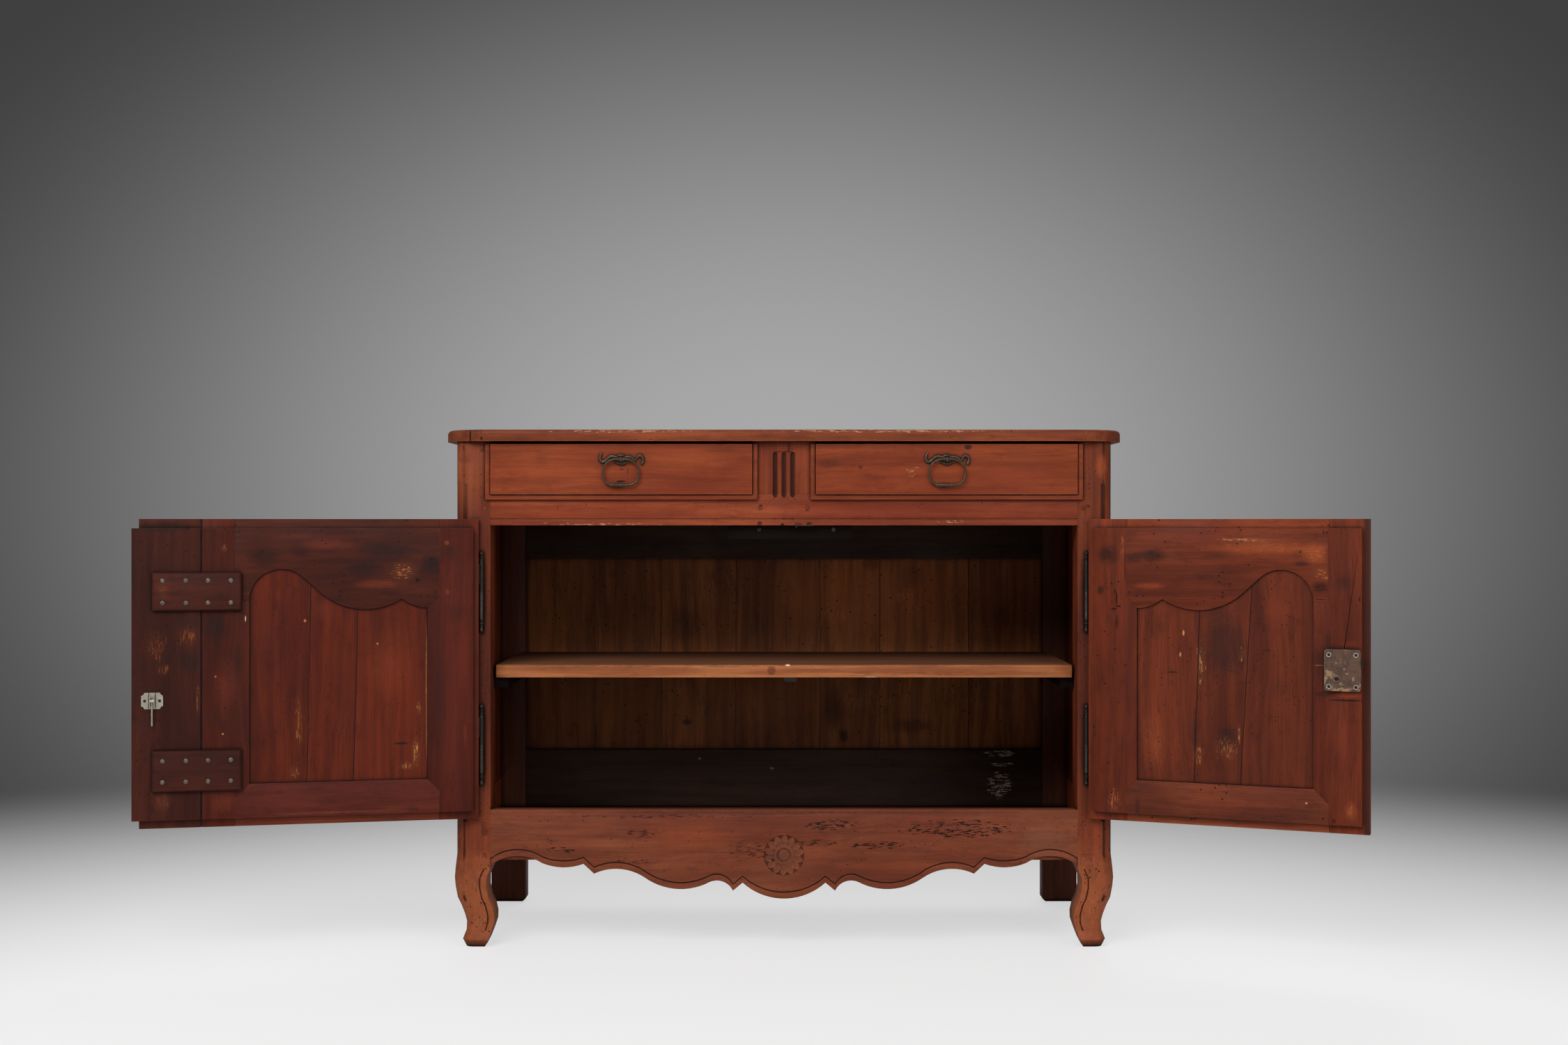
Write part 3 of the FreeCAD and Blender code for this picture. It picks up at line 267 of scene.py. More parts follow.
def crack_group():
    """Short dark cracks that run along X."""
    given, leave = new_group("cracks", "Vector Share", "Mask")
    line = streaky(given["Vector"], 22.0, 300.0, 2.0, 0.5, 0.4)
    thick = remap(streaky(given["Vector"], 6.0, 16.0), 0.4, 0.7)
    limit = minus(0.86, times(thick, given["Share"]))
    return close_group(leave, Mask=remap(minus(line, limit), 0.0, 0.03))


def spot_group():
    """A mark round a place, for a stain and also for painted shade and shadow: a soft cloud, or flecks along
    the grain that thin out towards its rim.
    """
    given, leave = new_group("spot", "Vector Grain Centre Reach Ragged Soft Flecks", "Mask")
    away = vector_calc("SUBTRACT", given["Vector"], given["Centre"])
    far = length(vector_calc("DIVIDE", away, given["Reach"]))
    ragged = minus(noise(given["Vector"], 70.0, 6.0, 0.75), 0.5)
    far = plus(far, times(ragged, given["Ragged"]))
    cloud = remap(far, minus(1.0, given["Soft"]), 1.0, 1.0, 0.0)
    fine = streaky(given["Grain"], 75.0, 380.0, 4.0, 0.65)
    level = minus(0.67, times(cloud, 0.15))
    flecks = remap(minus(fine, level), 0.0, 0.045)
    flecks = times(flecks, calc("GREATER_THAN", cloud, 0.02))
    plain = times(cloud, minus(1.0, given["Flecks"]))
    mask = plus(plain, times(flecks, given["Flecks"]), clamp=True)
    return close_group(leave, Mask=mask)


def seam_group():
    """A joint between boards: what lies past it, and the dark line of the joint itself."""
    given, leave = new_group("seam", "Vector Place Lean", "Past Line")
    parts = axes(given["Vector"])
    place = plus(given["Place"], times(parts[2], given["Lean"]))
    sway = times(minus(noise(given["Vector"], 26.0, 3.0), 0.5), 0.003)
    apart = minus(plus(parts[0], sway), place)
    line = remap(calc("ABSOLUTE", apart), 0.4 * MM, 1.3 * MM, 1.0, 0.0)
    return close_group(leave, Past=calc("GREATER_THAN", apart, 0.0), Line=line)


GRAIN = grain_group()
AGE = age_group()
WORMS = worm_group()
CRACKS = crack_group()
SPOT = spot_group()
SEAM = seam_group()

# Which parts of a place come first, second and third when the grain runs along an axis
TURNS = {"X": (0, 1, 2), "Y": (1, 0, 2), "Z": (2, 0, 1)}
DOOR_FRAMES = {
    "left_door": (LEFT_HINGE, LEFT_TURN, (1, 1, 1)),
    "right_door": (RIGHT_HINGE, RIGHT_TURN, (1, -1, 1)),
}
BOARD_STEP = 1.37
# A door's inner side starts at this depth; the outer side kept its varnish, redder and lighter
INNER_FROM = 17.0
OUTER_GAIN = [1.5, 1.5, 1.3, 1.0]
# Paint of dirt with painted shade in corners, and of worm holes
DIRT_AND_SHADE = (30, 15, 10)
CRACK_PAINT = (28, 14, 10)
# Painted shade in gaps and crevices
GAP_SHADE_PAINT = (18, 9, 7)
# Paint of dirt with painted shade in the corners of metal
METAL_DIRT_AND_SHADE = (18, 12, 9)
BLACK = (20, 12, 10)
SOOT = (34, 20, 17)
PALE = (205, 160, 118)
CHALK = (170, 160, 140)
SHADE = (44, 20, 13)


def local_place(tree, frame_name):
    """The place on the piece; on a door the way from its pins, the depth inwards and the height."""
    place = object_place(tree)
    if frame_name in DOOR_FRAMES:
        hinge, turn, scale = DOOR_FRAMES[frame_name]
        links = {"Vector": place, "Location": hinge, "Rotation": (0, 0, math.radians(turn)),
                 "Scale": scale}
        place = step("ShaderNodeMapping", links, vector_type="TEXTURE").outputs[0]
    return place


def start_material(name):
    material = bpy.data.materials.new(name)
    material.use_nodes = True
    tree = material.node_tree
    tree.nodes.clear()
    shader = tree.nodes.new("ShaderNodeBsdfPrincipled")
    end = tree.nodes.new("ShaderNodeOutputMaterial")
    tree.links.new(shader.outputs[0], end.inputs[0])
    return material, tree, shader


def surface(shader, tone, matt, height, strength, depth):
    links = {"Strength": strength, "Distance": depth * MM, "Height": height}
    bump = step("ShaderNodeBump", links).outputs[0]
    for key, value in (("Base Color", tone), ("Roughness", matt), ("Normal", bump)):
        shader.id_data.links.new(value, shader.inputs[key])


def age_of(place, edge, corner, gap):
    return use(AGE, {"Vector": place, "Edge": edge * MM, "Corner": corner * MM, "Gap": gap * MM})


def timber(name, along, tones, place="body", figure=0.5, streaks=0.35, pores=0.5, worn=0.35, grime=0.5,
           holes=0.0, cracks=0.0, stains=(), seams=(), rough=(0.46, 0.66), varnished=False,
           board_tone=0.1, gap=0.8):
    """A wood finish: grain, then board tone, stain and painted shade marks, cracks, worm holes, painted shade
    with dirt in corners, rubbed edges partly painted as highlights, and painted shade in gaps.
    """
    material, tree, shader = start_material(name)
    light, middle, dark = tones
    spot_place = local_place(tree, place)
    parts = axes(spot_place)
    board = add(tree, "ShaderNodeAttribute", attribute_name="board", attribute_type="GEOMETRY").outputs["Fac"]
    tone_gain, joint = None, None
    for seam_place, lean, gain in seams:
        seam = use(SEAM, {"Vector": spot_place, "Place": seam_place * MM, "Lean": lean})
        board = plus(board, times(seam["Past"], BOARD_STEP))
        change = remap(seam["Past"], 0.0, 1.0, 1.0, gain)
        tone_gain = times(tone_gain, change) if tone_gain else change
        joint = calc("MAXIMUM", joint, seam["Line"]) if joint else seam["Line"]
    apart = vector_of(board, times(board, 0.71), times(board, 0.37))
    grain_first = vector_of(*[parts[i] for i in TURNS[along]])
    along_place = vector_calc("ADD", grain_first, apart)
    links = {"Vector": along_place, "Light": colour(*light), "Middle": colour(*middle),
             "Dark": colour(*dark), "Figure": figure, "Streaks": streaks, "Pores": pores}
    grain = use(GRAIN, links)
    tone, height = grain["Color"], grain["Height"]
    shade = step("ShaderNodeTexWhiteNoise", {"W": board}, noise_dimensions="1D").outputs[0]
    shade = remap(shade, 0.0, 1.0, 1.0 - board_tone, 1.0 + board_tone)
    if tone_gain:
        shade = times(shade, tone_gain)
    grey = step("ShaderNodeCombineColor", {0: shade, 1: shade, 2: shade}).outputs[0]
    tone = blend(1.0, tone, grey, "MULTIPLY")
    if varnished:
        outside = remap(parts[1], (INNER_FROM - 1.0) * MM, INNER_FROM * MM, 1.0, 0.0)
        tone = blend(outside, tone, OUTER_GAIN, "MULTIPLY")
    matt = times(height, 0.1)
    for centre, reach, paint, strength, ragged, soft, flecks in stains:
        links = {"Vector": spot_place, "Grain": along_place, "Centre": Vector(centre) * MM,
                 "Reach": Vector(reach) * MM, "Ragged": ragged, "Soft": soft, "Flecks": flecks}
        tone = painted(tone, use(SPOT, links)["Mask"], strength, paint)
    sunk = [(joint, 0.85, BLACK, 4.0)] if joint else []
    if cracks:
        mask = use(CRACKS, {"Vector": along_place, "Share": cracks})["Mask"]
        sunk.append((mask, 0.9, CRACK_PAINT, 3.0))
    if holes:
        mask = use(WORMS, {"Vector": spot_place, "Share": holes})["Mask"]
        sunk.append((mask, 0.9, DIRT_AND_SHADE, 4.0))
    for mask, strength, paint, depth in sunk:
        tone = painted(tone, mask, strength, paint)
        height = minus(height, times(mask, depth))
    aged = age_of(spot_place, 2.2, 26.0, 7.0)
    # Painted shade with dirt in corners
    tone = painted(tone, aged["Grime"], grime, DIRT_AND_SHADE)
    # Rubbed edges made lighter, partly a painted highlight
    tone = painted(tone, aged["Worn"], worn, [min(255, value * 1.28 + 22) for value in light])
    # Painted shade in gaps
    tone = painted(tone, aged["Line"], gap, GAP_SHADE_PAINT)
    matt = remap(plus(matt, noise(spot_place, 9.0, 3.0)), 0.3, 0.8, *rough)
    surface(shader, tone, matt, height, 0.35, 0.25)
    shader.inputs["Specular IOR Level"].default_value = 0.12
    return material


def metal(name, base, wear_and_sheen_colour, patch_colour, metallic=0.8, rough=(0.35, 0.6),
          patch_scale=120.0, patches=0.5, worn=0.7, flakes=None):
    """A metal finish: patchy colour, flaking spots, painted shade with dirt in corners, and rubbed edges
    partly painted as highlights.
    """
    material, tree, shader = start_material(name)
    place = object_place(tree)
    mottle = remap(noise(place, patch_scale, 5.0, 0.7), 0.42, 0.62)
    tone = painted(colour(*base), mottle, patches, patch_colour)
    if flakes:
        paint, scale = flakes
        thick = remap(noise(place, scale * 0.25, 2.0), 0.35, 0.65, 0.0, 0.12)
        spots = plus(noise(place, scale, 4.0, 0.65), thick)
        tone = blend(remap(spots, 0.6, 0.66), tone, colour(*paint))
    aged = age_of(place, 1.2, 6.0, 2.0)
    # Painted shade with dirt in corners
    tone = painted(tone, aged["Grime"], 0.7, METAL_DIRT_AND_SHADE)
    # Rubbed edges made lighter, partly a painted highlight
    tone = painted(tone, aged["Worn"], worn, wear_and_sheen_colour)
    matt = remap(noise(place, patch_scale * 2, 4.0), 0.3, 0.7, *rough)
    surface(shader, tone, matt, noise(place, 900.0, 4.0, 0.6), 0.3, 0.2)
    shader.inputs["Metallic"].default_value = metallic
    return material


# Colours of the woods: light, middle and dark grain

DRAWER = ((156, 75, 38), (126, 52, 27), (88, 35, 19))
RAIL = ((159, 78, 44), (130, 54, 31), (90, 36, 23))
DIVIDER = ((145, 69, 39), (118, 48, 28), (82, 32, 20))
APRON = ((147, 82, 52), (121, 59, 38), (81, 38, 28))
LEG = ((137, 64, 35), (109, 47, 26), (71, 30, 17))
BACK_LEG = ((96, 48, 30), (74, 36, 24), (44, 22, 15))
TOP = ((149, 78, 44), (121, 57, 33), (78, 34, 22))
BOARDS = ((131, 76, 37), (101, 55, 26), (53, 25, 12))
INSIDE = ((51, 30, 20), (38, 20, 14), (22, 11, 8))
BACK_RAIL = ((65, 45, 31), (49, 31, 25), (29, 20, 15))
# Painted shade: near black, for the shelf cleats under the shelf and the stop block under the rail
SHADED_BLOCK = ((20, 11, 8), (15, 8, 6), (10, 6, 4))
PINE = ((205, 132, 81), (174, 103, 61), (115, 61, 37))
BOX = ((170, 118, 72), (140, 92, 52), (92, 56, 32))
BATTENS = ((78, 35, 24), (60, 24, 18), (33, 13, 12))
FALSE = ((77, 32, 21), (57, 23, 14), (33, 11, 8))
LEFT_STILE = ((90, 33, 17), (70, 23, 13), (40, 12, 6))
LEFT_TOP = ((92, 40, 26), (69, 29, 19), (38, 15, 12))
LEFT_BOTTOM = ((113, 49, 31), (86, 33, 24), (50, 20, 17))
LEFT_PANEL = ((94, 33, 16), (74, 25, 12), (42, 12, 7))
RIGHT_STILE = ((121, 51, 26), (94, 37, 21), (56, 22, 14))
RIGHT_TOP = ((126, 56, 29), (97, 39, 23), (58, 24, 15))
RIGHT_BOTTOM = ((132, 64, 37), (103, 46, 29), (61, 29, 21))
RIGHT_PANEL = ((96, 40, 22), (76, 30, 18), (43, 15, 10))

# Marks. Each is a centre and a reach in millimetres, a paint, its strength, how ragged and how
# soft the rim is, and how much of it breaks up into flecks.

FRONT_FACE = -265.0
DRAWER_FACE = -274.0
SHELF_FACE = -230.0
BACK_FACE = 240.0
BACK_RAIL_FACE = 214.0
DOOR_FACE = 19.0
FALSE_LIP = 14.0
RIGHT_LIP = 12.0
MARK_DEPTH = 30.0


def marks(face, *rows):
    """Marks on one flat face, from X, Z, half width, half height, paint and up to four per cents."""
    return [((x, face, z), (wide, MARK_DEPTH, tall), paint, *[share / 100 for share in (*shares, 0)[:4]])
            for x, z, wide, tall, paint, *shares in rows]


def shades(z, *lines):
    """The shade in upright grooves, from X, Y, half width and half depth."""
    return [((x, y, z), (wide, deep, 2500.0), SHADE, 0.88, 0.2, 0.5, 0.0) for x, y, wide, deep in lines]


FLUTES = shades(880.0, *[(x, -261.5, 5.6, 3.8) for x in (-17.2, -0.8, 15.6)])
DRAWER_MARKS = marks(
    DRAWER_FACE,
    (-307, 881.4, 11, 2.4, BLACK, 90, 60, 50), (-305.7, 904.2, 5, 2.8, (70, 34, 20), 70, 40, 60),
    (-294.3, 899, 1.6, 12, (84, 30, 20), 70, 50, 60), (346, 946, 10.5, 6.5, (40, 26, 24), 90, 60, 60),
    (86, 915, 36.5, 14.6, SOOT, 55, 80, 80, 36), (244, 899, 21.1, 11.4, PALE, 50, 90, 70, 100),
    (144, 908, 5.7, 5.7, (80, 34, 20), 80, 40, 60),
    (-182, 925, 121.7, 32.5, (168, 84, 44), 40, 50, 90, 20), (-117, 941, 48.7, 8.1, SOOT, 35, 80, 80, 27),
    # Painted shadow of the top's overhang: the long dark band along the tops of the drawer fronts
    (-3, 947, 568, 7.3, (84, 36, 24), 50, 30, 90, 30),
    (-450, 908, 105.5, 40.6, (160, 76, 40), 30, 50, 90, 20),
    (443, 892, 105.5, 24.3, (160, 72, 38), 35, 50, 90, 20),
)
RAIL_MARKS = FLUTES + marks(
    FRONT_FACE,
    (-46, 802, 5.7, 5.7, BLACK, 85, 50, 40, 14), (-3, 800, 4.1, 3.3, BLACK, 95, 20, 40),
    (28, 800, 11.4, 4.9, BLACK, 80, 70, 40, 36), (48, 801, 7.3, 4.9, BLACK, 80, 70, 40, 36),
    (-44, 835, 4.1, 4.1, BLACK, 75, 40, 40), (44, 829, 4.1, 4.1, BLACK, 75, 40, 40),
    (-369, 801, 187.1, 4.1, PALE, 50, 50, 70, 100), (322, 806, 48.8, 4.1, PALE, 50, 50, 70, 100),
    (-394, 823, 162.7, 16.3, (156, 72, 38), 35, 50, 90, 20),
)
APRON_MARKS = marks(
    FRONT_FACE,
    (330, 226, 126, 22, BLACK, 95, 70, 35, 100), (176, 195, 64, 9, BLACK, 95, 60, 35, 100),
    (94, 233, 64, 14, BLACK, 90, 70, 40, 100), (63, 199, 46, 9, BLACK, 90, 60, 35, 100),
    (-422, 186, 38, 6.5, BLACK, 95, 50, 30, 100), (-264, 216, 44.7, 14.6, BLACK, 85, 80, 50, 100),
    (-286, 165, 39, 8.5, BLACK, 85, 70, 50, 100), (-231, 249, 341.6, 6.5, BLACK, 70, 40, 80, 100),
    (-68, 187, 46, 28, BLACK, 75, 80, 60, 100), (489, 204, 65.1, 32.5, (122, 78, 58), 55, 80, 80, 30),
    (-182, 212, 122, 40.7, (150, 68, 36), 40, 60, 90, 20),
    (-3, 257, 585.7, 5.7, (58, 36, 30), 70, 40, 70, 40),
    (-2, 177, 42.3, 42.3, (88, 58, 46), 50, 40, 50, 30),
    (225, 155, 130.2, 16.3, (146, 70, 40), 35, 60, 90, 20), (-22, 167, 4.1, 3.3, BLACK, 95, 20, 30),
)
BACK_MARKS = marks(
    BACK_FACE,
    (185, 715, 23.9, 20.2, BLACK, 70, 80, 70, 36), (274, 688, 31.2, 42.3, BLACK, 70, 90, 80, 36),
    (88, 697, 12.9, 55.1, BLACK, 50, 90, 80, 100), (-132, 674, 101.1, 64.3, BLACK, 45, 90, 90, 100),
    (382, 637, 119.4, 82.7, BLACK, 45, 90, 90, 100), (-206, 582, 64.3, 55.1, BLACK, 50, 90, 80, 36),
    (107, 409, 33.1, 64.3, BLACK, 75, 80, 80, 27), (127, 349, 12.9, 22.1, BLACK, 80, 50, 70, 9),
    (272, 370, 73.5, 22.1, BLACK, 60, 80, 80, 32), (-160, 409, 64.3, 55.1, BLACK, 50, 90, 90, 100),
    (-206, 379, 14.7, 9.2, BLACK, 80, 70, 60, 23), (382, 446, 110.3, 45.9, BLACK, 40, 90, 90, 100),
    (254, 647, 55.1, 27.6, (196, 116, 52), 50, 80, 80, 100),
    (107, 610, 55.1, 45.9, (176, 104, 48), 50, 80, 80, 100),
    (198, 427, 183.8, 45.9, (160, 92, 42), 35, 80, 90, 100),
    (215, 650, 330, 130, (166, 86, 36), 32, 50, 80, 20),
    (-360, 430, 210, 110, (132, 74, 34), 30, 50, 80, 10),
    (-60, 440, 200, 100, (150, 76, 32), 25, 50, 80, 10),
)
BACK_RAIL_MARKS = marks(
    BACK_RAIL_FACE,
    (458, 314, 49.3, 9.1, CHALK, 90, 60, 50, 100), (462, 291, 40.2, 4.6, CHALK, 90, 60, 50, 100),
    (456, 250, 36.5, 40.2, CHALK, 85, 80, 60, 100), (-179, 304, 4.6, 3.7, CHALK, 60, 80, 60, 60),
    (-25, 281, 7.3, 9.1, CHALK, 50, 80, 70, 100),
)
SHELF_MARKS = [
    ((0, 0, 535), (5000, 5000, 3.4), (92, 62, 46), 0.9, 0.1, 0.3, 0.1),
] + marks(
    SHELF_FACE,
    (-24, 522, 10.7, 11.5, (98, 50, 32), 85, 50, 50, 20),
    (-233, 531, 377.6, 5.7, (110, 62, 42), 50, 50, 70, 100),
    (276, 517, 279.1, 4.9, (104, 56, 38), 50, 50, 70, 100),
    (7, 532, 5.7, 2.1, (236, 206, 170), 90, 40, 50),
    (165, 509, 14.8, 2.5, (236, 206, 170), 80, 60, 50, 60),
    (530, 525, 18.1, 6.6, (120, 66, 42), 60, 80, 70, 50),
)
LEFT_TOP_MARKS = marks(
    DOOR_FACE,
    (179, 752, 83, 24.9, SOOT, 90, 80, 80, 23), (221, 716, 43.8, 28.6, SOOT, 72, 80, 80, 23),
    (397, 743, 43.4, 28.3, SOOT, 72, 90, 80, 18), (96, 728, 27, 26.4, SOOT, 90, 70, 80, 18),
    (146, 714, 35.2, 24.9, (176, 104, 56), 76, 70, 80, 88), (120, 697, 5.4, 4.8, BLACK, 90, 40, 50),
    (94, 736, 7.8, 1.9, BLACK, 85, 40, 50), (193, 690, 63.4, 11.5, (136, 58, 32), 50, 70, 80, 40),
    (286, 764, 72.8, 12.4, (118, 50, 30), 50, 70, 80, 40), (332, 752, 24.2, 19, SOOT, 54, 90, 80, 27),
)
FALSE_MARKS = marks(
    DOOR_FACE,
    (508.7, 515, 1.9, 5000, BLACK, 95, 12, 50), (531, 598, 26.8, 27.2, (150, 78, 36), 48, 80, 80, 88),
    (587, 580, 33.4, 37.4, (132, 66, 32), 52, 80, 80, 88),
    (574, 538, 17.2, 16.8, (140, 74, 36), 60, 80, 80, 88),
    (526, 549, 26.3, 28.1, (30, 22, 20), 75, 80, 80, 30),
    (514, 481, 5.7, 37.5, (164, 92, 46), 45, 60, 70, 88),
    (609, 436, 14.3, 28, (48, 30, 24), 60, 80, 80, 50),
    (576, 298, 22.9, 24.3, (110, 58, 36), 55, 80, 80, 60),
    (533, 622, 28.7, 28.1, (30, 22, 20), 60, 80, 80, 40),
    (625, 702, 7.6, 83.9, (36, 22, 18), 60, 70, 80, 50),
) + marks(
    FALSE_LIP,
    (574, 796, 66.8, 14, (40, 24, 20), 80, 40, 60, 20), (569, 234, 62, 12, (40, 24, 20), 80, 40, 60, 20),
) + marks(
    DOOR_FACE,
    (632, 767, 4.8, 18.6, (36, 24, 22), 60, 60, 70, 40), (533, 795, 5.7, 4.7, BLACK, 80, 70, 60, 18),
)
MEETING_MARKS = marks(
    DOOR_FACE,
    (465, 515, 60, 420, SOOT, 16, 50, 90, 10), (507.4, 515, 1.9, 5000, BLACK, 95, 12, 50),
    (483, 617, 33.6, 37.6, SOOT, 84, 80, 80, 27), (469, 757, 8.6, 13.2, (150, 84, 48), 48, 70, 80, 88),
    (442, 550, 12.5, 56.5, SOOT, 60, 80, 90, 23), (465, 503, 28.8, 65.8, (112, 44, 26), 45, 70, 90, 30),
    (430, 628, 1.4, 6.6, (200, 180, 160), 80, 40, 50), (425, 680, 7.7, 13.2, BLACK, 85, 50, 60),
    (431, 665, 1.9, 12.3, BLACK, 85, 40, 50), (470, 292, 28.8, 23.5, (116, 52, 30), 45, 80, 80, 40),
    (470, 418, 2.4, 2.4, (190, 120, 80), 80, 30, 50), (483, 523, 2.4, 2.3, (180, 90, 60), 80, 30, 50),
)
LEFT_STILE_MARKS = marks(
    DOOR_FACE,
    (45, 515, 70, 420, (124, 52, 38), 22, 50, 90, 10),
    (79, 506, 12.8, 158.8, (46, 24, 20), 50, 60, 90, 40),
    (37, 554, 14.8, 106.1, (112, 40, 24), 45, 60, 90, 20), (66, 766, 5.4, 5.3, (120, 60, 44), 70, 40, 50),
    (65, 674, 4.9, 5.8, (112, 56, 42), 60, 40, 50), (60, 747, 29.5, 24.1, SOOT, 50, 80, 90, 23),
    (32, 409, 5.9, 29, (126, 52, 32), 50, 70, 80, 50), (51, 636, 29.5, 28.9, SOOT, 35, 80, 90, 23),
)
LEFT_PANEL_MARKS = marks(
    DOOR_FACE,
    (103, 485, 2, 153.8, (178, 118, 66), 95, 30, 40, 35),
    (123, 375, 9.8, 38.4, (196, 130, 66), 76, 60, 80, 88),
    (118, 459, 6.9, 19.2, (180, 112, 56), 65, 70, 80, 88),
    (139, 351, 19.6, 10.5, (180, 110, 56), 65, 70, 80, 88),
    (335, 440, 10.6, 90.1, (160, 90, 44), 49, 60, 80, 88),
    (338, 414, 3.4, 9.5, (190, 130, 70), 90, 60, 60, 80), (150, 393, 18.6, 3.4, BLACK, 80, 50, 60, 9),
    (174, 537, 58.6, 86.1, (134, 58, 30), 40, 70, 90, 30),
    (388, 578, 43.4, 118.1, (64, 26, 20), 45, 70, 90, 30),
    (254, 462, 19.4, 123.8, (70, 28, 20), 40, 70, 90, 50),
    (342, 345, 14.5, 19, (170, 100, 56), 48, 70, 80, 88),
    (324, 623, 2.9, 3.8, (190, 110, 80), 80, 50, 50), (193, 579, 2.4, 2.4, (190, 110, 80), 80, 50, 50),
    (291, 643, 29.1, 28.5, (110, 46, 28), 40, 80, 90, 30),
)
LEFT_BOTTOM_MARKS = marks(
    DOOR_FACE,
    (268, 269, 184.5, 2.9, (126, 66, 44), 60, 40, 70, 60),
    (314, 292, 145.3, 14.2, (78, 34, 26), 35, 70, 90, 30),
    (268, 252, 204, 3.8, (134, 74, 48), 60, 40, 70, 60),
)
BATTEN_MARKS = marks(
    DOOR_FACE,
    (574, 683, 19.1, 28, (126, 66, 42), 40, 80, 80, 50),
    (497, 701, 47.9, 14.1, (58, 28, 22), 40, 80, 90, 40),
    (515, 354, 71.8, 18.8, (56, 28, 22), 35, 80, 90, 40),
)
RIGHT_STILE_MARKS = marks(
    DOOR_FACE,
    (63, 663, 1.8, 15.2, BLACK, 95, 40, 40), (67, 648, 5.5, 2.1, BLACK, 90, 40, 40),
    (58, 643, 6.4, 2.1, BLACK, 90, 50, 40), (64, 619, 4.1, 19, BLACK, 60, 60, 70, 14),
    (60, 676, 1.8, 5.9, BLACK, 80, 40, 50), (45, 744, 27.6, 25.4, SOOT, 90, 80, 80, 27),
    (32, 678, 10.1, 12.7, SOOT, 84, 70, 80, 23), (74, 759, 5.5, 29.5, (168, 96, 52), 65, 60, 80, 88),
    (58, 285, 20.2, 33.8, (176, 100, 60), 60, 70, 80, 88), (20, 407, 4.2, 3.8, (56, 30, 26), 70, 40, 60),
    (36, 589, 23, 55.1, (124, 50, 28), 40, 70, 90, 30),
    (27, 512, 18.4, 50.9, (64, 28, 22), 35, 70, 90, 40), (79, 721, 1.4, 46.4, BLACK, 75, 30, 50),
)
RIGHT_TOP_MARKS = marks(
    DOOR_FACE,
    (129, 742, 34.2, 21.8, SOOT, 92, 80, 80, 27), (96, 738, 22.9, 16.8, SOOT, 78, 80, 80, 27),
    (335, 758, 147.2, 22.6, (170, 84, 42), 60, 60, 90, 40),
    (427, 748, 30.9, 24.4, (182, 92, 46), 65, 70, 80, 50),
    (302, 773, 80.6, 4.9, (206, 132, 82), 65, 50, 70, 88),
    (439, 712, 22.9, 17.8, (186, 106, 56), 65, 70, 80, 88), (435, 689, 18.5, 13.8, BLACK, 85, 70, 70, 36),
    (126, 687, 41, 8.4, (158, 70, 36), 55, 60, 80, 30), (252, 743, 40.5, 16.6, SOOT, 42, 80, 90, 27),
    (403, 730, 22.1, 7.3, SOOT, 72, 70, 80, 23), (227, 705, 36.1, 12.5, SOOT, 42, 80, 90, 27),
    (450, 724, 1.3, 56.7, BLACK, 80, 30, 50), (437, 666, 13.2, 1.2, BLACK, 75, 30, 50),
)
RIGHT_PANEL_MARKS = marks(
    DOOR_FACE,
    (167, 528, 13.6, 3.3, (48, 28, 20), 90, 50, 60, 20), (339, 572, 9.8, 2.1, (52, 26, 20), 90, 50, 50),
    (188, 601, 2.3, 6.7, (206, 132, 84), 95, 40, 50), (182, 561, 2.3, 5.4, (196, 122, 74), 90, 40, 50),
    (265, 578, 49.4, 70.3, (54, 29, 24), 75, 90, 60, 15),
    (221, 545, 9.5, 66, (40, 22, 18), 80, 80, 60, 20), (217, 497, 8.1, 37.4, BLACK, 90, 70, 70, 100),
    (220, 543, 11.7, 66.5, (196, 120, 70), 68, 60, 80, 88), (294, 558, 6.3, 33, BLACK, 85, 60, 70, 41),
    (294, 562, 5.4, 24.7, (196, 120, 70), 56, 60, 70, 88),
    (269, 408, 30, 34, (40, 23, 19), 80, 90, 70, 15),
    (267, 392, 31.4, 33.1, (196, 116, 62), 41, 70, 80, 88),
    (290, 417, 4, 24.7, (206, 130, 76), 73, 60, 70, 88),
    (215, 377, 15.4, 29.1, (190, 110, 60), 65, 70, 80, 88),
    (209, 420, 7.5, 62, (44, 24, 19), 75, 90, 60, 40),
    (135, 398, 31.9, 75.4, (152, 76, 42), 50, 70, 90, 40), (139, 608, 27.3, 25.1, SOOT, 45, 80, 90, 32),
    (359, 645, 40, 36.8, (124, 52, 30), 40, 70, 90, 20),
    (363, 506, 26.7, 24.5, (64, 28, 20), 45, 80, 90, 30),
    (395, 385, 22.1, 48.9, (68, 30, 22), 45, 80, 90, 30),
    (248, 639, 58.5, 24.8, (58, 32, 26), 50, 80, 90, 60),
)
RIGHT_MEETING_MARKS = marks(
    DOOR_FACE,
    (479, 487, 35.1, 1.6, BLACK, 95, 20, 30), (485, 498, 30.7, 8.9, (150, 66, 34), 70, 50, 60, 20),
    (441, 497, 22, 8.1, (44, 26, 20), 70, 60, 70, 30),
    (435, 548, 13.2, 1.2, (200, 140, 90), 70, 60, 60, 60), (504, 667, 1.8, 5.2, BLACK, 90, 30, 50),
    (489, 289, 14.9, 24.2, (168, 84, 44), 60, 70, 80, 50), (459, 271, 4.4, 4.9, (50, 24, 18), 80, 40, 60),
    (475, 696, 26.3, 24.2, SOOT, 50, 80, 90, 32), (451, 598, 7, 24.3, SOOT, 55, 70, 80, 23),
    (475, 417, 26.3, 48.5, (126, 54, 30), 40, 70, 90, 30),
    (487, 587, 21.9, 12.1, (130, 52, 30), 40, 70, 90, 30), (441, 558, 26.4, 60.8, SOOT, 50, 70, 90, 14),
) + marks(
    RIGHT_LIP,
    (515.5, 515, 7, 5000, (44, 28, 24), 75, 20, 50),
)
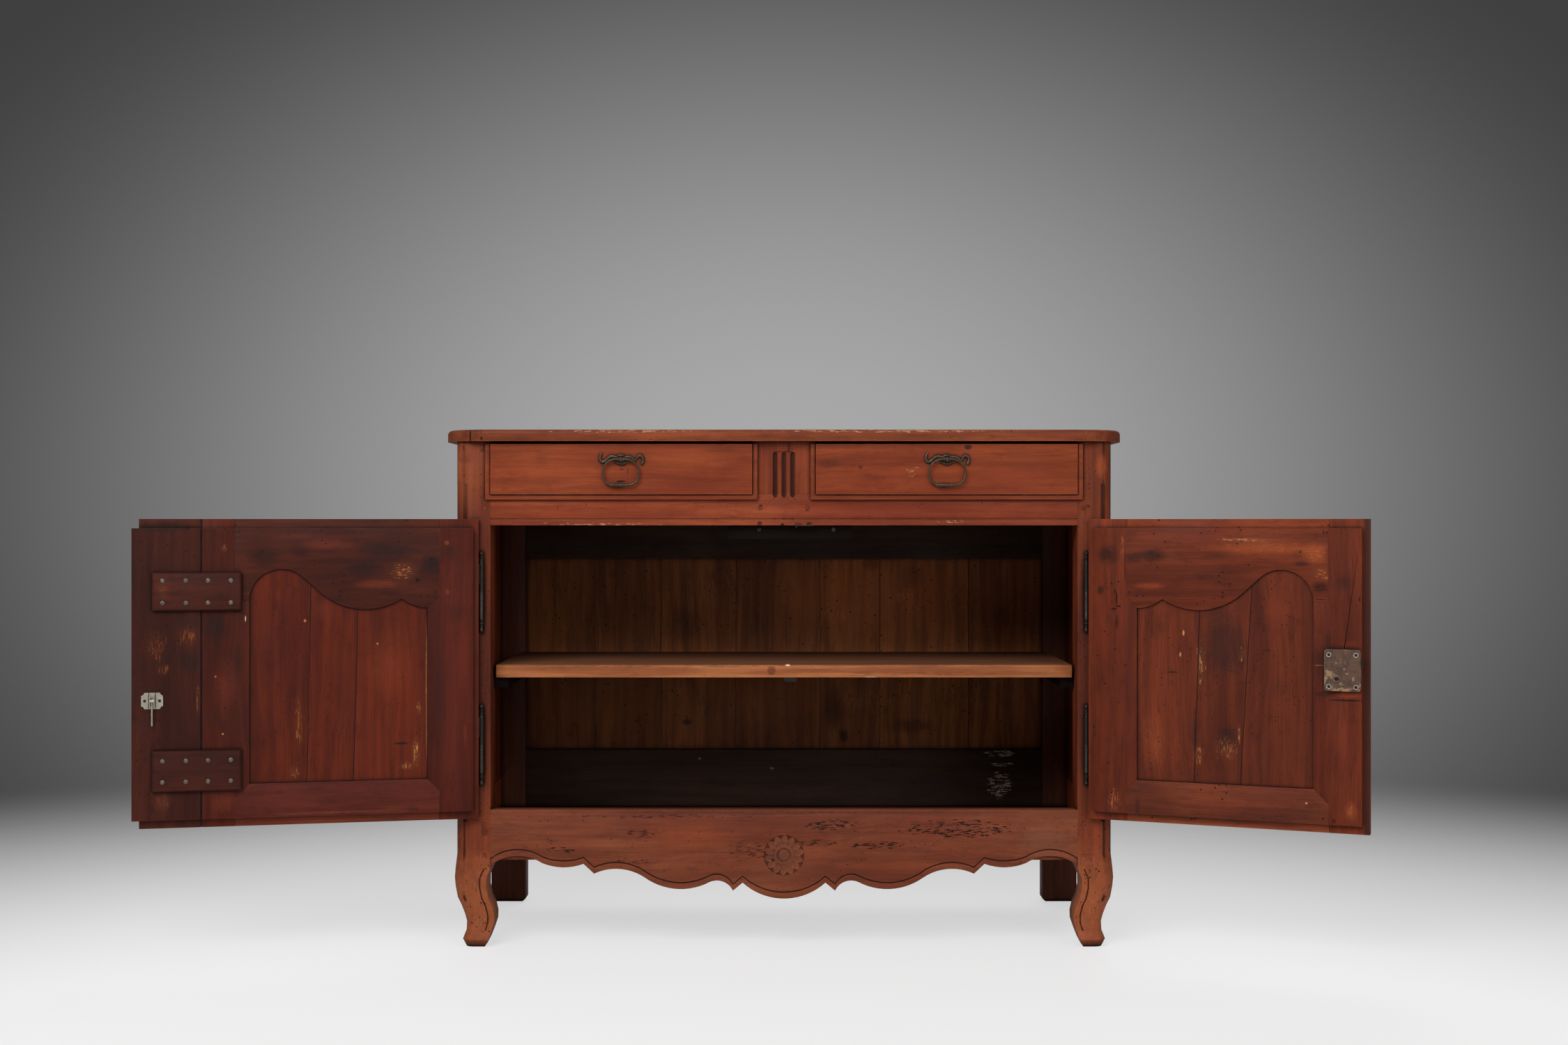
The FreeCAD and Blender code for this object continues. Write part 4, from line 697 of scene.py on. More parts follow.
RIGHT_BOTTOM_MARKS = marks(
    DOOR_FACE,
    (103, 275, 6.4, 29.4, (58, 28, 22), 70, 50, 70, 20),
    (169, 275, 77.2, 1.7, (52, 26, 20), 60, 50, 70, 80),
    (232, 247, 252.5, 9.1, (156, 88, 54), 65, 50, 70, 40), (232, 245, 243.5, 8.3, BLACK, 70, 50, 80, 100),
    (294, 294, 125.4, 9.9, (140, 64, 38), 35, 70, 90, 30),
    (411, 300, 2.7, 2.4, (200, 140, 110), 80, 40, 50), (57, 297, 9.2, 5.9, BLACK, 60, 80, 70, 32),
)
LEG_MARKS = [
    ((0, -262, 70), (900, 90, 190), (186, 108, 68), 0.75, 0.4, 0.5, 0.25),
] + shades(570.0, *[(side * x, y, wide, deep) for side in (-1, 1) for x, y, wide, deep in (
    (602.5, -262.0, 4.6, 3.2), (617.0, -247.0, 3.2, 4.8))]) + [
    ((-600, -262, 900), (60, 60, 110), (186, 100, 60), 0.3, 0.4, 0.9, 0.1),
    ((590, -262, 880), (40, 60, 140), (72, 32, 20), 0.45, 0.4, 0.9, 0.1),
] + [((side * x, -262.0, z), reach, *rest) for side in (-1, 1) for x, z, reach, *rest in (
    # Painted shade of the open doors: a tall dark strip on each post beside the hinges
    (566.0, 520.0, (24.0, 60.0, 320.0), (62, 26, 18), 0.8, 0.4, 0.6, 0.2),
    (600.0, 4.0, (90.0, 90.0, 14.0), (66, 34, 20), 0.7, 0.7, 0.8, 0.3))] + marks(
    FRONT_FACE,
    (-565, 221, 9.8, 11.4, BLACK, 70, 90, 60, 36), (-613, 195, 9.8, 32.5, BLACK, 50, 90, 80, 100),
    (582, 155, 24.4, 48.8, BLACK, 50, 90, 90, 100), (-581, 122, 24.4, 48.8, BLACK, 45, 90, 90, 100),
    (-569, 940, 6.5, 4.9, BLACK, 60, 70, 60, 23), (-597, 925, 16.3, 16.3, (80, 36, 26), 60, 90, 80, 60),
    (-615, 909, 8.1, 48.8, (176, 92, 50), 60, 40, 80, 20),
    (599, 909, 16.3, 32.5, (176, 88, 46), 50, 50, 80, 20), (574, 835, 4.9, 4.9, BLACK, 60, 60, 60),
)
TOP_MARKS = [
    ((-590, -280, 968), (2, 20, 14), BLACK, 0.9, 0.8, 0.3, 0),
    ((-568, -284, 962), (3, 12, 4), BLACK, 0.8, 0.8, 0.3, 0),
    ((-260, -285, 958), (60, 9, 4), BLACK, 0.7, 0.8, 0.6, 1),
    ((-300, -285, 976), (200, 12, 4), PALE, 0.6, 0.6, 0.5, 1),
    ((190, -285, 976), (300, 12, 4), PALE, 0.6, 0.6, 0.5, 1),
    ((0, -60, 980), (420, 150, 30), (160, 92, 52), 0.35, 0.7, 0.9, 0.3),
]
DIVIDER_MARKS = [((9, -265, 944), (2, 9, 13), BLACK, 0.7, 0.9, 0.6, 0)] + FLUTES

# Joints of boards: place, lean with height, and how much the next board's tone changes
BACK_SEAMS = [(-402.8, 0.0, 1.08), (-261.4, 0.0, 1.2), (-102.5, 0.0, 0.86), (77.3, 0.0, 1.24),
              (203.9, 0.0, 1.1), (393.0, 0.0, 1.02)]
LEFT_SEAMS = [(245.7, -0.0274, 0.88), (327.0, -0.02, 0.97)]
RIGHT_SEAMS = [(196.2, 0.0335, 0.9), (272.8, 0.0585, 1.02)]

WOODS = {}


def wood(name, along, tones, **more):
    WOODS[name] = timber(name, along, tones, **more)


def door_wood(side, member, along, tones, **more):
    wood(side + "_" + member, along, tones, place=side + "_door", varnished=True, **more)


wood("drawer_cherry", "X", DRAWER, cracks=0.02, stains=DRAWER_MARKS)
wood("rail_cherry", "X", RAIL, cracks=0.04, holes=0.1, stains=RAIL_MARKS)
wood("divider_cherry", "Z", DIVIDER, stains=DIVIDER_MARKS)
wood("apron_cherry", "X", APRON, cracks=0.1, holes=0.25, stains=APRON_MARKS)
wood("leg_cherry", "Z", LEG, holes=0.8, cracks=0.05, stains=LEG_MARKS)
wood("back_leg", "Z", BACK_LEG, holes=0.3)
wood("top_cherry", "X", TOP, cracks=0.06, worn=0.6, holes=0.15, stains=TOP_MARKS)
wood("cleat_cherry", "Y", TOP, cracks=0.05, worn=0.6, stains=TOP_MARKS)
wood("side_rail", "Y", RAIL, cracks=0.05)
wood("side_panel", "Z", RAIL, cracks=0.03)
wood("back_boards", "Z", BOARDS, cracks=0.1, figure=0.6, holes=0.3, board_tone=0.0, stains=BACK_MARKS,
     seams=BACK_SEAMS)
wood("back_rails", "X", BACK_RAIL, cracks=0.05, stains=BACK_RAIL_MARKS)
wood("floor_boards", "X", INSIDE, cracks=0.05)
wood("inside_bars", "Y", INSIDE)
wood("inside_rails", "X", BACK_RAIL)
# Near black as painted shade on the shelf cleats and the stop block
wood("dark_block", "X", SHADED_BLOCK, worn=0.05, rough=(0.85, 1.0))
wood("rosette_cherry", "X", APRON, stains=APRON_MARKS, worn=0.6, gap=0.5)
wood("drawer_box", "Y", BOX, holes=0.1)
wood("shelf_pine", "X", PINE, figure=0.65, stains=SHELF_MARKS)
wood("battens", "X", BATTENS, place="left_door", stains=BATTEN_MARKS)
wood("false_stile", "Z", FALSE, place="left_door", varnished=True, holes=0.3, stains=FALSE_MARKS)
door_wood("left", "hinge_stile", "Z", LEFT_STILE, stains=LEFT_STILE_MARKS)
door_wood("left", "meeting_stile", "Z", LEFT_STILE, holes=0.15, stains=MEETING_MARKS)
door_wood("left", "top_rail", "X", LEFT_TOP, cracks=0.05, holes=0.3, stains=LEFT_TOP_MARKS)
door_wood("left", "bottom_rail", "X", LEFT_BOTTOM, stains=LEFT_BOTTOM_MARKS)
door_wood("left", "panel", "Z", LEFT_PANEL, holes=0.3, stains=LEFT_PANEL_MARKS, seams=LEFT_SEAMS)
door_wood("right", "hinge_stile", "Z", RIGHT_STILE, holes=0.1, stains=RIGHT_STILE_MARKS)
door_wood("right", "meeting_stile", "Z", RIGHT_STILE, stains=RIGHT_MEETING_MARKS)
door_wood("right", "top_rail", "X", RIGHT_TOP, cracks=0.05, holes=0.3, stains=RIGHT_TOP_MARKS)
door_wood("right", "bottom_rail", "X", RIGHT_BOTTOM, holes=0.2, stains=RIGHT_BOTTOM_MARKS)
door_wood("right", "panel", "Z", RIGHT_PANEL, holes=0.7, cracks=0.05, stains=RIGHT_PANEL_MARKS,
          seams=RIGHT_SEAMS)

# Metals: base, rubbed (partly a painted highlight) and patchy colours
METALS = {name: metal(name, *tones, **more) for name, tones, more in (
    ("hinge_iron", ((54, 47, 42), (150, 138, 126), (44, 34, 29)), {"worn": 0.55}),
    ("pull_bronze", ((84, 70, 58), (204, 178, 146), (58, 44, 36)), {"worn": 0.8}),
    ("lock_iron", ((94, 66, 50), (200, 182, 156), (62, 42, 34)),
     {"metallic": 0.25, "patch_scale": 70.0, "patches": 0.75, "flakes": ((146, 116, 88), 74.0)}),
    # Black iron, also used as painted shade: the strike under the shelf, the rivets' dark centres, the key
    # hole and the catch's slots
    ("black_iron_and_shade", ((26, 21, 18), (70, 62, 56), (16, 12, 11)), {"metallic": 0.5, "worn": 0.3}),
    ("nickel", ((190, 182, 166), (232, 226, 214), (120, 104, 84)),
     {"metallic": 0.85, "rough": (0.25, 0.45), "patches": 0.3}),
    ("screw_steel", ((112, 100, 90), (200, 190, 178), (66, 50, 42)), {"metallic": 0.7}),
)}

# The finish of each wooden piece; the order gives each piece its own stretch of grain
FINISHES = {node: finish for finish, nodes in (
    ("top_cherry", "top_boards"), ("cleat_cherry", "left_top_cleat right_top_cleat"),
    ("leg_cherry", "left_front_leg right_front_leg"), ("back_leg", "left_back_leg right_back_leg"),
    ("apron_cherry", "front_apron"), ("rail_cherry", "door_rail"), ("divider_cherry", "drawer_divider"),
    ("inside_rails", "top_front_rail"), ("side_rail", "left_side_rails right_side_rails"),
    ("side_panel", "left_side_panel right_side_panel"), ("back_boards", "back_boards"),
    ("back_rails", "back_top_rail back_bottom_rail"), ("floor_boards", "floor_boards"),
    ("inside_bars", "floor_bearers"), ("shelf_pine", "shelf"), ("dark_block", "shelf_cleats"),
    ("inside_bars", "drawer_runners"), ("dark_block", "stop_block"), ("leg_cherry", "joint_pegs"),
    ("false_stile", "left_door_false_stile"), ("battens", "left_door_battens"),
    ("drawer_cherry", "left_drawer_front right_drawer_front"),
    ("drawer_box", "left_drawer_box right_drawer_box left_drawer_bottom right_drawer_bottom"),
) for node in nodes.split()}
for side in ("left", "right"):
    for member in ("hinge_stile", "meeting_stile", "top_rail", "bottom_rail", "panel"):
        FINISHES[side + "_door_" + member] = side + "_" + member
METAL_FINISHES = {
    # The strike under the shelf is made black as painted shade
    "rail_catch_plate": "black_iron_and_shade", "shelf_strike": "black_iron_and_shade", "left_door_elbow_catch": "nickel",
    "left_door_elbow_lever": "nickel", "right_door_lock_case": "lock_iron",
    "right_door_lock_bolt": "hinge_iron",
}
SQUARE_EDGED = ("back_boards", "drawer_runners", "left_door_panel", "right_door_panel",
                "left_drawer_box", "right_drawer_box")
EASE = 0.7
GRAIN_STEP = 0.53
MERGE = 0.00001
PANEL_SINK = 2.8
PANEL_INNER_FACE = 17.5

LEFT_DOOR = Matrix.Translation(LEFT_HINGE) @ turned(LEFT_TURN, "Z")
RIGHT_DOOR = Matrix.Translation(RIGHT_HINGE) @ turned(RIGHT_TURN, "Z")
SUNK_PANELS = {"left_door_panel": (LEFT_DOOR, 1), "right_door_panel": (RIGHT_DOOR, -1)}


def body_of(node):
    return frame["nodes"][node]["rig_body"]


def edit_all(piece):
    deselect()
    bpy.context.view_layer.objects.active = piece
    piece.select_set(True)
    bpy.ops.object.mode_set(mode="EDIT")
    bpy.ops.mesh.select_all(action="SELECT")


def select_where(piece, test):
    """Selects the points of a piece in edit mode whose place passes a test."""
    bpy.ops.mesh.select_all(action="DESELECT")
    bpy.ops.object.mode_set(mode="OBJECT")
    for vertex in piece.data.vertices:
        vertex.select = test(vertex.co)
    bpy.ops.object.mode_set(mode="EDIT")


def leave_edit(angle):
    """Turns every face outwards, leaves edit mode and shades smooth over edges flatter than an angle."""
    bpy.ops.mesh.select_all(action="SELECT")
    bpy.ops.mesh.normals_make_consistent(inside=False)
    bpy.ops.object.mode_set(mode="OBJECT")
    bpy.ops.object.shade_smooth_by_angle(angle=math.radians(angle))


def number_boards(piece, first):
    """Gives every separate board of a piece a number of its own, which shifts its grain."""
    mesh = piece.data
    owner = list(range(len(mesh.vertices)))

    def root(i):
        while owner[i] != i:
            owner[i] = owner[owner[i]]
            i = owner[i]
        return i

    for edge in mesh.edges:
        a, b = (root(i) for i in edge.vertices)
        owner[max(a, b)] = min(a, b)
    roots = sorted({root(i) for i in range(len(owner))})
    numbers = {r: first + BOARD_STEP * i for i, r in enumerate(roots)}
    layer = mesh.attributes.new("board", "FLOAT", "POINT")
    layer.data.foreach_set("value", [numbers[root(i)] for i in range(len(owner))])


def eased(node, material, width, number):
    """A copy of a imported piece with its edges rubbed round, which stands for that piece."""
    mesh = frame["nodes"][node].data.copy()
    mesh.materials.clear()
    piece = new_object(node + "_eased", mesh)
    edit_all(piece)
    bpy.ops.mesh.customdata_custom_splitnormals_clear()
    bpy.ops.mesh.remove_doubles(threshold=MERGE)
    if node in SUNK_PANELS:
        door, side = SUNK_PANELS[node]
        to_door = door.inverted()
        select_where(piece, lambda place: side * (to_door @ place).y > PANEL_INNER_FACE * MM)
        inwards = door.to_3x3() @ Vector((0.0, side, 0.0))
        bpy.ops.transform.translate(value=tuple(inwards * -PANEL_SINK * MM))
    bpy.ops.object.mode_set(mode="OBJECT")
    if width:
        easing = piece.modifiers.new("edges", "BEVEL")
        easing.width = width * MM
        easing.segments = 2
        easing.limit_method = "ANGLE"
        easing.angle_limit = math.radians(40.0)
        easing.use_clamp_overlap = False
        easing.miter_outer = "MITER_ARC"
        bpy.ops.object.modifier_apply(modifier="edges")
    for vertex in mesh.vertices:
        vertex.co.z = max(vertex.co.z, 0.0)
    bpy.ops.object.shade_smooth_by_angle(angle=math.radians(32.0))
    number_boards(piece, number)
    mesh.materials.append(material)
    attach(piece, body_of(node))
    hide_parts(node)


def dress_wood():
    for number, (node, finish) in enumerate(FINISHES.items()):
        eased(node, WOODS[finish], 0.0 if node in SQUARE_EDGED else EASE, GRAIN_STEP * number)


def dress_metal():
    for node, finish in METAL_FINISHES.items():
        piece = frame["nodes"][node]
        piece.data.materials.clear()
        piece.data.materials.append(METALS[finish])


# How the small pieces are made


def turned_piece(name, rings, sides=20):
    """A shape turned on a lathe along Z, from rings of height and radius in millimetres."""
    height, radius = rings[0]
    bpy.ops.mesh.primitive_circle_add(vertices=sides, radius=radius * MM, fill_type="NGON")
    piece = bpy.context.object
    piece.name = name
    edit_all(piece)
    bpy.ops.transform.translate(value=(0.0, 0.0, height * MM))
    for next_height, next_radius in rings[1:]:
        rise = {"value": (0.0, 0.0, (next_height - height) * MM)}
        bpy.ops.mesh.extrude_region_move(TRANSFORM_OT_translate=rise)
        bpy.ops.transform.resize(value=(next_radius / radius, next_radius / radius, 1.0))
        height, radius = next_height, next_radius
    leave_edit(42.0)
    return piece


def forged_bar(name, points, flat=1.0, level=0.0):
    """A bar along a smooth line through points of X, Y, Z and radius, pressed flat about one depth."""
    bpy.ops.curve.primitive_nurbs_path_add()
    bar = bpy.context.object
    bar.name = name
    path = bar.data
    path.splines.clear()
    line = path.splines.new("NURBS")
    line.points.add(len(points) - 1)
    for point, (x, y, z, radius) in zip(line.points, points):
        point.co = (x * MM, y * MM, z * MM, 1.0)
        point.radius = radius
    line.order_u = 4
    line.use_endpoint_u = True
    line.resolution_u = 5
    path.bevel_depth = MM
    path.bevel_resolution = 3
    path.use_fill_caps = True
    bpy.ops.object.convert(target="MESH")
    edit_all(bar)
    bpy.ops.mesh.remove_doubles(threshold=MERGE)
    bpy.ops.transform.resize(value=(1.0, flat, 1.0), center_override=(0.0, level * MM, 0.0))
    leave_edit(60.0)
    return bar


def squared_bar(name, low, high, ease):
    """A bar between two corners with eased edges."""
    low, high = Vector(low), Vector(high)
    bpy.ops.mesh.primitive_cube_add(size=MM)
    bar = bpy.context.object
    bar.name = name
    edit_all(bar)
    bpy.ops.transform.resize(value=tuple(high - low))
    bpy.ops.transform.translate(value=tuple((high + low) * MM / 2))
    bpy.ops.mesh.bevel(offset=ease * MM, segments=2, affect="EDGES")
    bpy.ops.object.mode_set(mode="OBJECT")
    return bar


def placed(piece, matrix):
    """The piece with a turn and a place put into its mesh."""
    piece.data.transform(matrix)
    return piece


def copy_of(piece, matrix):
    return placed(new_object(piece.name, piece.data.copy()), matrix)


def joined(name, pieces):
    deselect()
    for piece in pieces:
        piece.select_set(True)
    bpy.context.view_layer.objects.active = pieces[0]
    bpy.ops.object.join()
    pieces[0].name = name
    return pieces[0]


def finished(piece, material, body, slot, *replaced):
    piece.data.materials.clear()
    piece.data.materials.append(material)
    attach(piece, body)
    if replaced:
        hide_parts(*replaced)


def remove(*models):
    for model in models:
        bpy.data.objects.remove(model)


def at(x, y, z):
    return Matrix.Translation(Vector((x, y, z)) * MM)


FACING_FRONT = turned(90.0, "X")
FACING_REAR = turned(-90.0, "X")
ALONG_X = turned(90.0, "Y")


def on_left_door(u, depth, z):
    """The place and facing of a small piece on the left door's inner side."""
    return LEFT_DOOR @ at(u, depth, z) @ FACING_REAR


def on_right_door(u, depth, z):
    return RIGHT_DOOR @ at(u, -depth, z) @ FACING_FRONT


# Hinges: turned halves with finials, and their leaves

HINGE_LENGTH = 154.0
BARREL_END = [(0, 0.9), (1.2, 3.0), (3.6, 4.5), (6.2, 4.3), (8.4, 2.7), (9.6, 2.5), (10.6, 4.2),
              (12.4, 4.2), (13.4, 2.6), (15.2, 2.6), (16.4, 4.9), (18.6, 4.9), (19.8, 3.4),
              (23.5, 3.6), (25.0, 5.0), (26.6, 5.0), (27.4, 4.6)]
FRAME_HALF = BARREL_END + [(75.8, 4.7), (76.85, 4.3), (76.85, 3.0), (114.0, 3.0), (115.0, 2.2)]
DOOR_HALF = [(115.5, 3.06), (77.15, 3.06), (77.15, 4.3), (78.2, 4.7)]
DOOR_HALF += [(HINGE_LENGTH - height, radius) for height, radius in reversed(BARREL_END)]
POST_LEAF = ((-1, 0, 24), (1, 28.5, 62))
DOOR_LEAF = ((0, -1, 92), (28, 1, 130))
LEAF_EASE = 0.3


def add_hinges():
    heights = [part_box("left_hinge_pins")[0][2] / MM,
               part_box("left_door_hinge_halves")[1][2] / MM - HINGE_LENGTH]
    lower = turned_piece("lower_barrel", FRAME_HALF, 24)
    upper = turned_piece("upper_barrel", DOOR_HALF, 24)
    post_leaf = squared_bar("post_leaf", *POST_LEAF, LEAF_EASE)
    door_leaf = squared_bar("door_leaf", *DOOR_LEAF, LEAF_EASE)
    for side, hinge, turn in (("left", LEFT_HINGE, LEFT_TURN), ("right", RIGHT_HINGE, RIGHT_TURN)):
        standing = [Matrix.Translation(hinge) @ at(0, 0, z) for z in heights]
        swung = [place @ turned(turn, "Z") for place in standing]
        fixed = [copy_of(part, place) for place in standing for part in (lower, post_leaf)]
        moving = [copy_of(part, place) for place in swung for part in (upper, door_leaf)]
        finished(joined(side + "_post_hinges", fixed), METALS["hinge_iron"], "carcase", "dark_iron",
                 side + "_hinge_pins")
        finished(joined(side + "_turned_hinges", moving), METALS["hinge_iron"], side + "_door",
                 "dark_iron", side + "_door_hinge_halves")
    remove(lower, upper, post_leaf, door_leaf)


# Rosette: scooped petals round a ring and a button, carved in a round recess

ROSETTE_Z = 176.0
RECESS_FLOOR = -263.0
PETAL_COUNT = 14
PETAL_PLACE = 26.4
PETAL_HALF = (6.9, 11.4)
PETAL_NECK = 0.78
PETAL_HEIGHT = 1.9
SCOOP = ((0.4, 0.0), (0.5, 0.6), (0.9, 0.5), (1.1, 0.2))
BUTTON = [(0, 19.2), (1.9, 19.0), (2.6, 17.8), (2.7, 15.6), (2.3, 14.0), (0.9, 13.4), (0.3, 12.6),
          (0.3, 11.0), (2.2, 10.2), (2.8, 8.8), (2.6, 6.4), (2.0, 4.2), (1.9, 1.2)]


def scooped_petal():
    """One petal along Y: narrow at the ring, round outside, hollowed between raised edges."""
    bpy.ops.mesh.primitive_circle_add(vertices=24, radius=MM, fill_type="NGON")
    petal = bpy.context.object
    edit_all(petal)
    bpy.ops.transform.resize(value=(*PETAL_HALF, 1.0))
    select_where(petal, lambda place: place.y < -0.1 * MM)
    bpy.ops.transform.resize(value=(PETAL_NECK, 1.0, 1.0))
    bpy.ops.mesh.select_all(action="SELECT")
    bpy.ops.mesh.extrude_region_move(TRANSFORM_OT_translate={"value": (0.0, 0.0, PETAL_HEIGHT * MM)})
    for inset, drop in SCOOP:
        bpy.ops.mesh.inset(thickness=inset * MM, depth=-drop * MM)
    leave_edit(50.0)
    return petal


def add_rosette():
    petal = scooped_petal()
    middle = at(0, RECESS_FLOOR, ROSETTE_Z)
    petals = []
    for i in range(PETAL_COUNT):
        turn = turned(360.0 * (i + 0.1) / PETAL_COUNT, "Y")
        petals.append(copy_of(petal, middle @ turn @ FACING_FRONT @ at(0, PETAL_PLACE, 0)))
    remove(petal)
    button = placed(turned_piece("button", BUTTON, 36), middle @ FACING_FRONT)
    finished(joined("apron_rosette", petals + [button]), WOODS["rosette_cherry"], "carcase", "cherry")


# Drawer pulls: cast arms on a boss, a turned eye and a ring with beads

PULL_X = 306.5
PIVOT_Y = -283.0
PIVOT_Z = 922.5
FACE_BEHIND = 8.5
LEFT_ARM = [(-2, 6.4, 1, 3.4), (-10, 6.4, 4.5, 3.6), (-18.5, 6.2, 7.4, 4.0), (-26, 6.4, 1.0, 3.0),
            (-31.5, 6.4, -5.2, 3.2), (-38.5, 6.4, -4.4, 3.0), (-41.0, 6.4, 4.0, 2.5),
            (-37.8, 6.4, 10.5, 1.9), (-35.6, 6.4, 12.4, 1.0)]
RIGHT_ARM = [(2, 6.4, 1, 3.4), (10, 6.4, 4.5, 3.4), (17.5, 6.4, 6.0, 3.7), (24, 6.6, -1.5, 2.4),
             (27.5, 6.8, -3.4, 1.5), (30, 6.6, 5.0, 2.4), (36.5, 6.4, 9.2, 3.3), (42.5, 6.4, 1.5, 2.8),
             (40.5, 6.4, -4.5, 2.6), (38.5, 6.2, -8.4, 3.4), (37.4, 6.2, -9.6, 1.8)]
UPPER_LOBE = [(-11, 6.2, 1.5, 1.4), (-6, 5.4, 6.6, 2.6), (0, 5.0, 9.0, 3.0), (6, 5.4, 6.6, 2.6),
              (11, 6.2, 1.5, 1.4)]
LOWER_LOBE = [(-12, 6.2, -3.5, 1.2), (-6, 5.6, -7.6, 2.3), (0, 5.4, -8.8, 2.6), (6, 5.6, -7.6, 2.3),
              (12, 6.2, -3.5, 1.2)]
BOSS = [(0, 9.4), (1.4, 9.2), (2.2, 8.0), (2.6, 6.6), (3.8, 6.2), (4.6, 4.8), (5.4, 4.2), (8.5, 4.0),
        (11.5, 3.4), (12.6, 1.6)]
HALF_EYE = [(-6.2, 2.7), (-5.4, 3.9), (-4.4, 3.9), (-3.8, 3.1), (-2.6, 5.0), (0, 5.8)]
HALF_RING = [(0, 0, -48.2, 2.4), (9, 0, -48.2, 2.4), (19, 0, -47.8, 2.6), (29.5, 0, -43.5, 2.4),
             (34.6, 0, -32, 2.0), (34.2, 0, -20, 1.9), (29.5, 0, -8.5, 2.0), (20, 0, -0.6, 2.3),
             (11, 0, 0.9, 2.5), (3, 0, 0, 2.5)]
HALF_BEADS = [(-14, 2.3), (-13, 3.2), (-11.6, 3.3), (-10.6, 2.6), (-8.6, 2.7), (-7.4, 3.6), (-5, 3.9),
              (-3.6, 3.2), (-2.6, 3.2), (-1.6, 4.1), (0, 4.4)]
BEAD_SHIFT = -6.0


def both_halves(rings):
    """The rings of a turned shape whose other half mirrors the given one."""
    return rings + [(-height, radius) for height, radius in reversed(rings[:-1])]


def add_pulls():
    cast = joined("cast", [
        forged_bar("left_arm", LEFT_ARM, 0.62, 6.4),
        forged_bar("right_arm", RIGHT_ARM, 0.62, 6.4),
        forged_bar("upper_lobe", UPPER_LOBE, 0.8, 5.8),
        forged_bar("lower_lobe", LOWER_LOBE, 0.8, 5.8),
        placed(turned_piece("boss", BOSS, 24), at(0, FACE_BEHIND, 0) @ FACING_FRONT),
        placed(turned_piece("eye", both_halves(HALF_EYE)), ALONG_X),
    ])
    mirrored_half = [(-x, y, z, radius) for x, y, z, radius in reversed(HALF_RING[1:])]
    beads = turned_piece("beads", both_halves(HALF_BEADS))
    ring = joined("ring", [
        forged_bar("ring", mirrored_half + HALF_RING),
        placed(beads, at(BEAD_SHIFT, 0, HALF_RING[0][2]) @ ALONG_X),
    ])
    for side, x in (("left", -PULL_X), ("right", PULL_X)):
        place = at(x, PIVOT_Y, PIVOT_Z)
        plate, bail = copy_of(cast, place), copy_of(ring, place)
        plate.name, bail.name = side + "_pull_cast", side + "_pull_ring"
        finished(plate, METALS["pull_bronze"], side + "_drawer", "bronze", side + "_drawer_pull_plate")
        finished(bail, METALS["pull_bronze"], side + "_bail", "bronze", side + "_drawer_bail")
    remove(cast, ring)


# Screws, nails and rivets

SCREW_HEAD = [(-0.3, 4.3), (0.5, 4.3), (1.0, 3.9), (1.35, 3.0), (1.5, 1.5)]
SCREW_SLOT = ((-6, -0.55, 0.7), (6, 0.55, 4))
NAIL_HEAD = [(-0.2, 3.4), (0.5, 3.3), (1.0, 2.4), (1.3, 0.9)]
RIVET_RIM = [(-0.2, 4.5), (0.8, 4.4), (1.2, 3.8), (0.9, 3.1), (0.3, 2.8), (0.3, 0.5)]
RIVET_CORE = [(0.2, 2.7), (0.7, 2.4), (0.9, 0.8)]
KEY_TUBE = [(-1.7, 7.0), (0.2, 6.9), (0.7, 6.2), (0.6, 5.0), (0.2, 4.4), (0.2, 0.6)]
KEY_CORE = [(0.15, 4.3), (0.35, 3.9), (0.35, 0.5)]
BATTEN_FACE = 30.0
SCREW_COLUMNS = (455.5, 495.6, 534.4, 575.2)
SCREW_ROWS = (333.8, 371.8, 658.2, 698.6)
CATCH_U = 593.75
CATCH_FACE = 20.5
CATCH_Z = 480.8
CATCH_SLOT = ((-0.6, -14.0, -0.2), (0.6, 14.0, 0.3))
STOP_SCREWS = [(-47.5, -247.0, 791.0), (93.7, -247.0, 791.0)]
LOCK_FACE = 31.0
RIVETS = [(u, LOCK_FACE, z) for u in (452.3, 499.4) for z in (511.8, 568.6)]
KEY_PLACE = (466.0, 32.5, 526.0)
NAIL_FACE = 252.0
NAIL_COLUMNS = [548.0 * share for share in (-0.87, -0.6, -0.33, -0.02, 0.26, 0.7)]
NAIL_ROWS = (205.0, 268.0, 780.0, 905.0)


def slotted_screw():
    """A round screw head with its slot cut across."""
    screw = turned_piece("screw", SCREW_HEAD)
    cutter = squared_bar("slot", *SCREW_SLOT, 0.05)
    slot = screw.modifiers.new("slot", "BOOLEAN")
    slot.operation = "DIFFERENCE"
    slot.object = cutter
    deselect()
    bpy.context.view_layer.objects.active = screw
    bpy.ops.object.modifier_apply(modifier="slot")
    remove(cutter)
    return screw


def set_of(name, model, places, material, body, slot, turn=0.0, size=1.0):
    """Copies of a model at places, each turned a little further, as one piece."""
    copies = []
    for i, place in enumerate(places):
        own = Matrix.Rotation(turn * (i * i + 1), 4, "Z") @ Matrix.Scale(size, 4)
        copies.append(copy_of(model, place @ own))
    finished(joined(name, copies), METALS[material], body, slot)


def on_catch(apart):
    return [on_left_door(CATCH_U + side * apart, CATCH_FACE, CATCH_Z) for side in (-1, 1)]


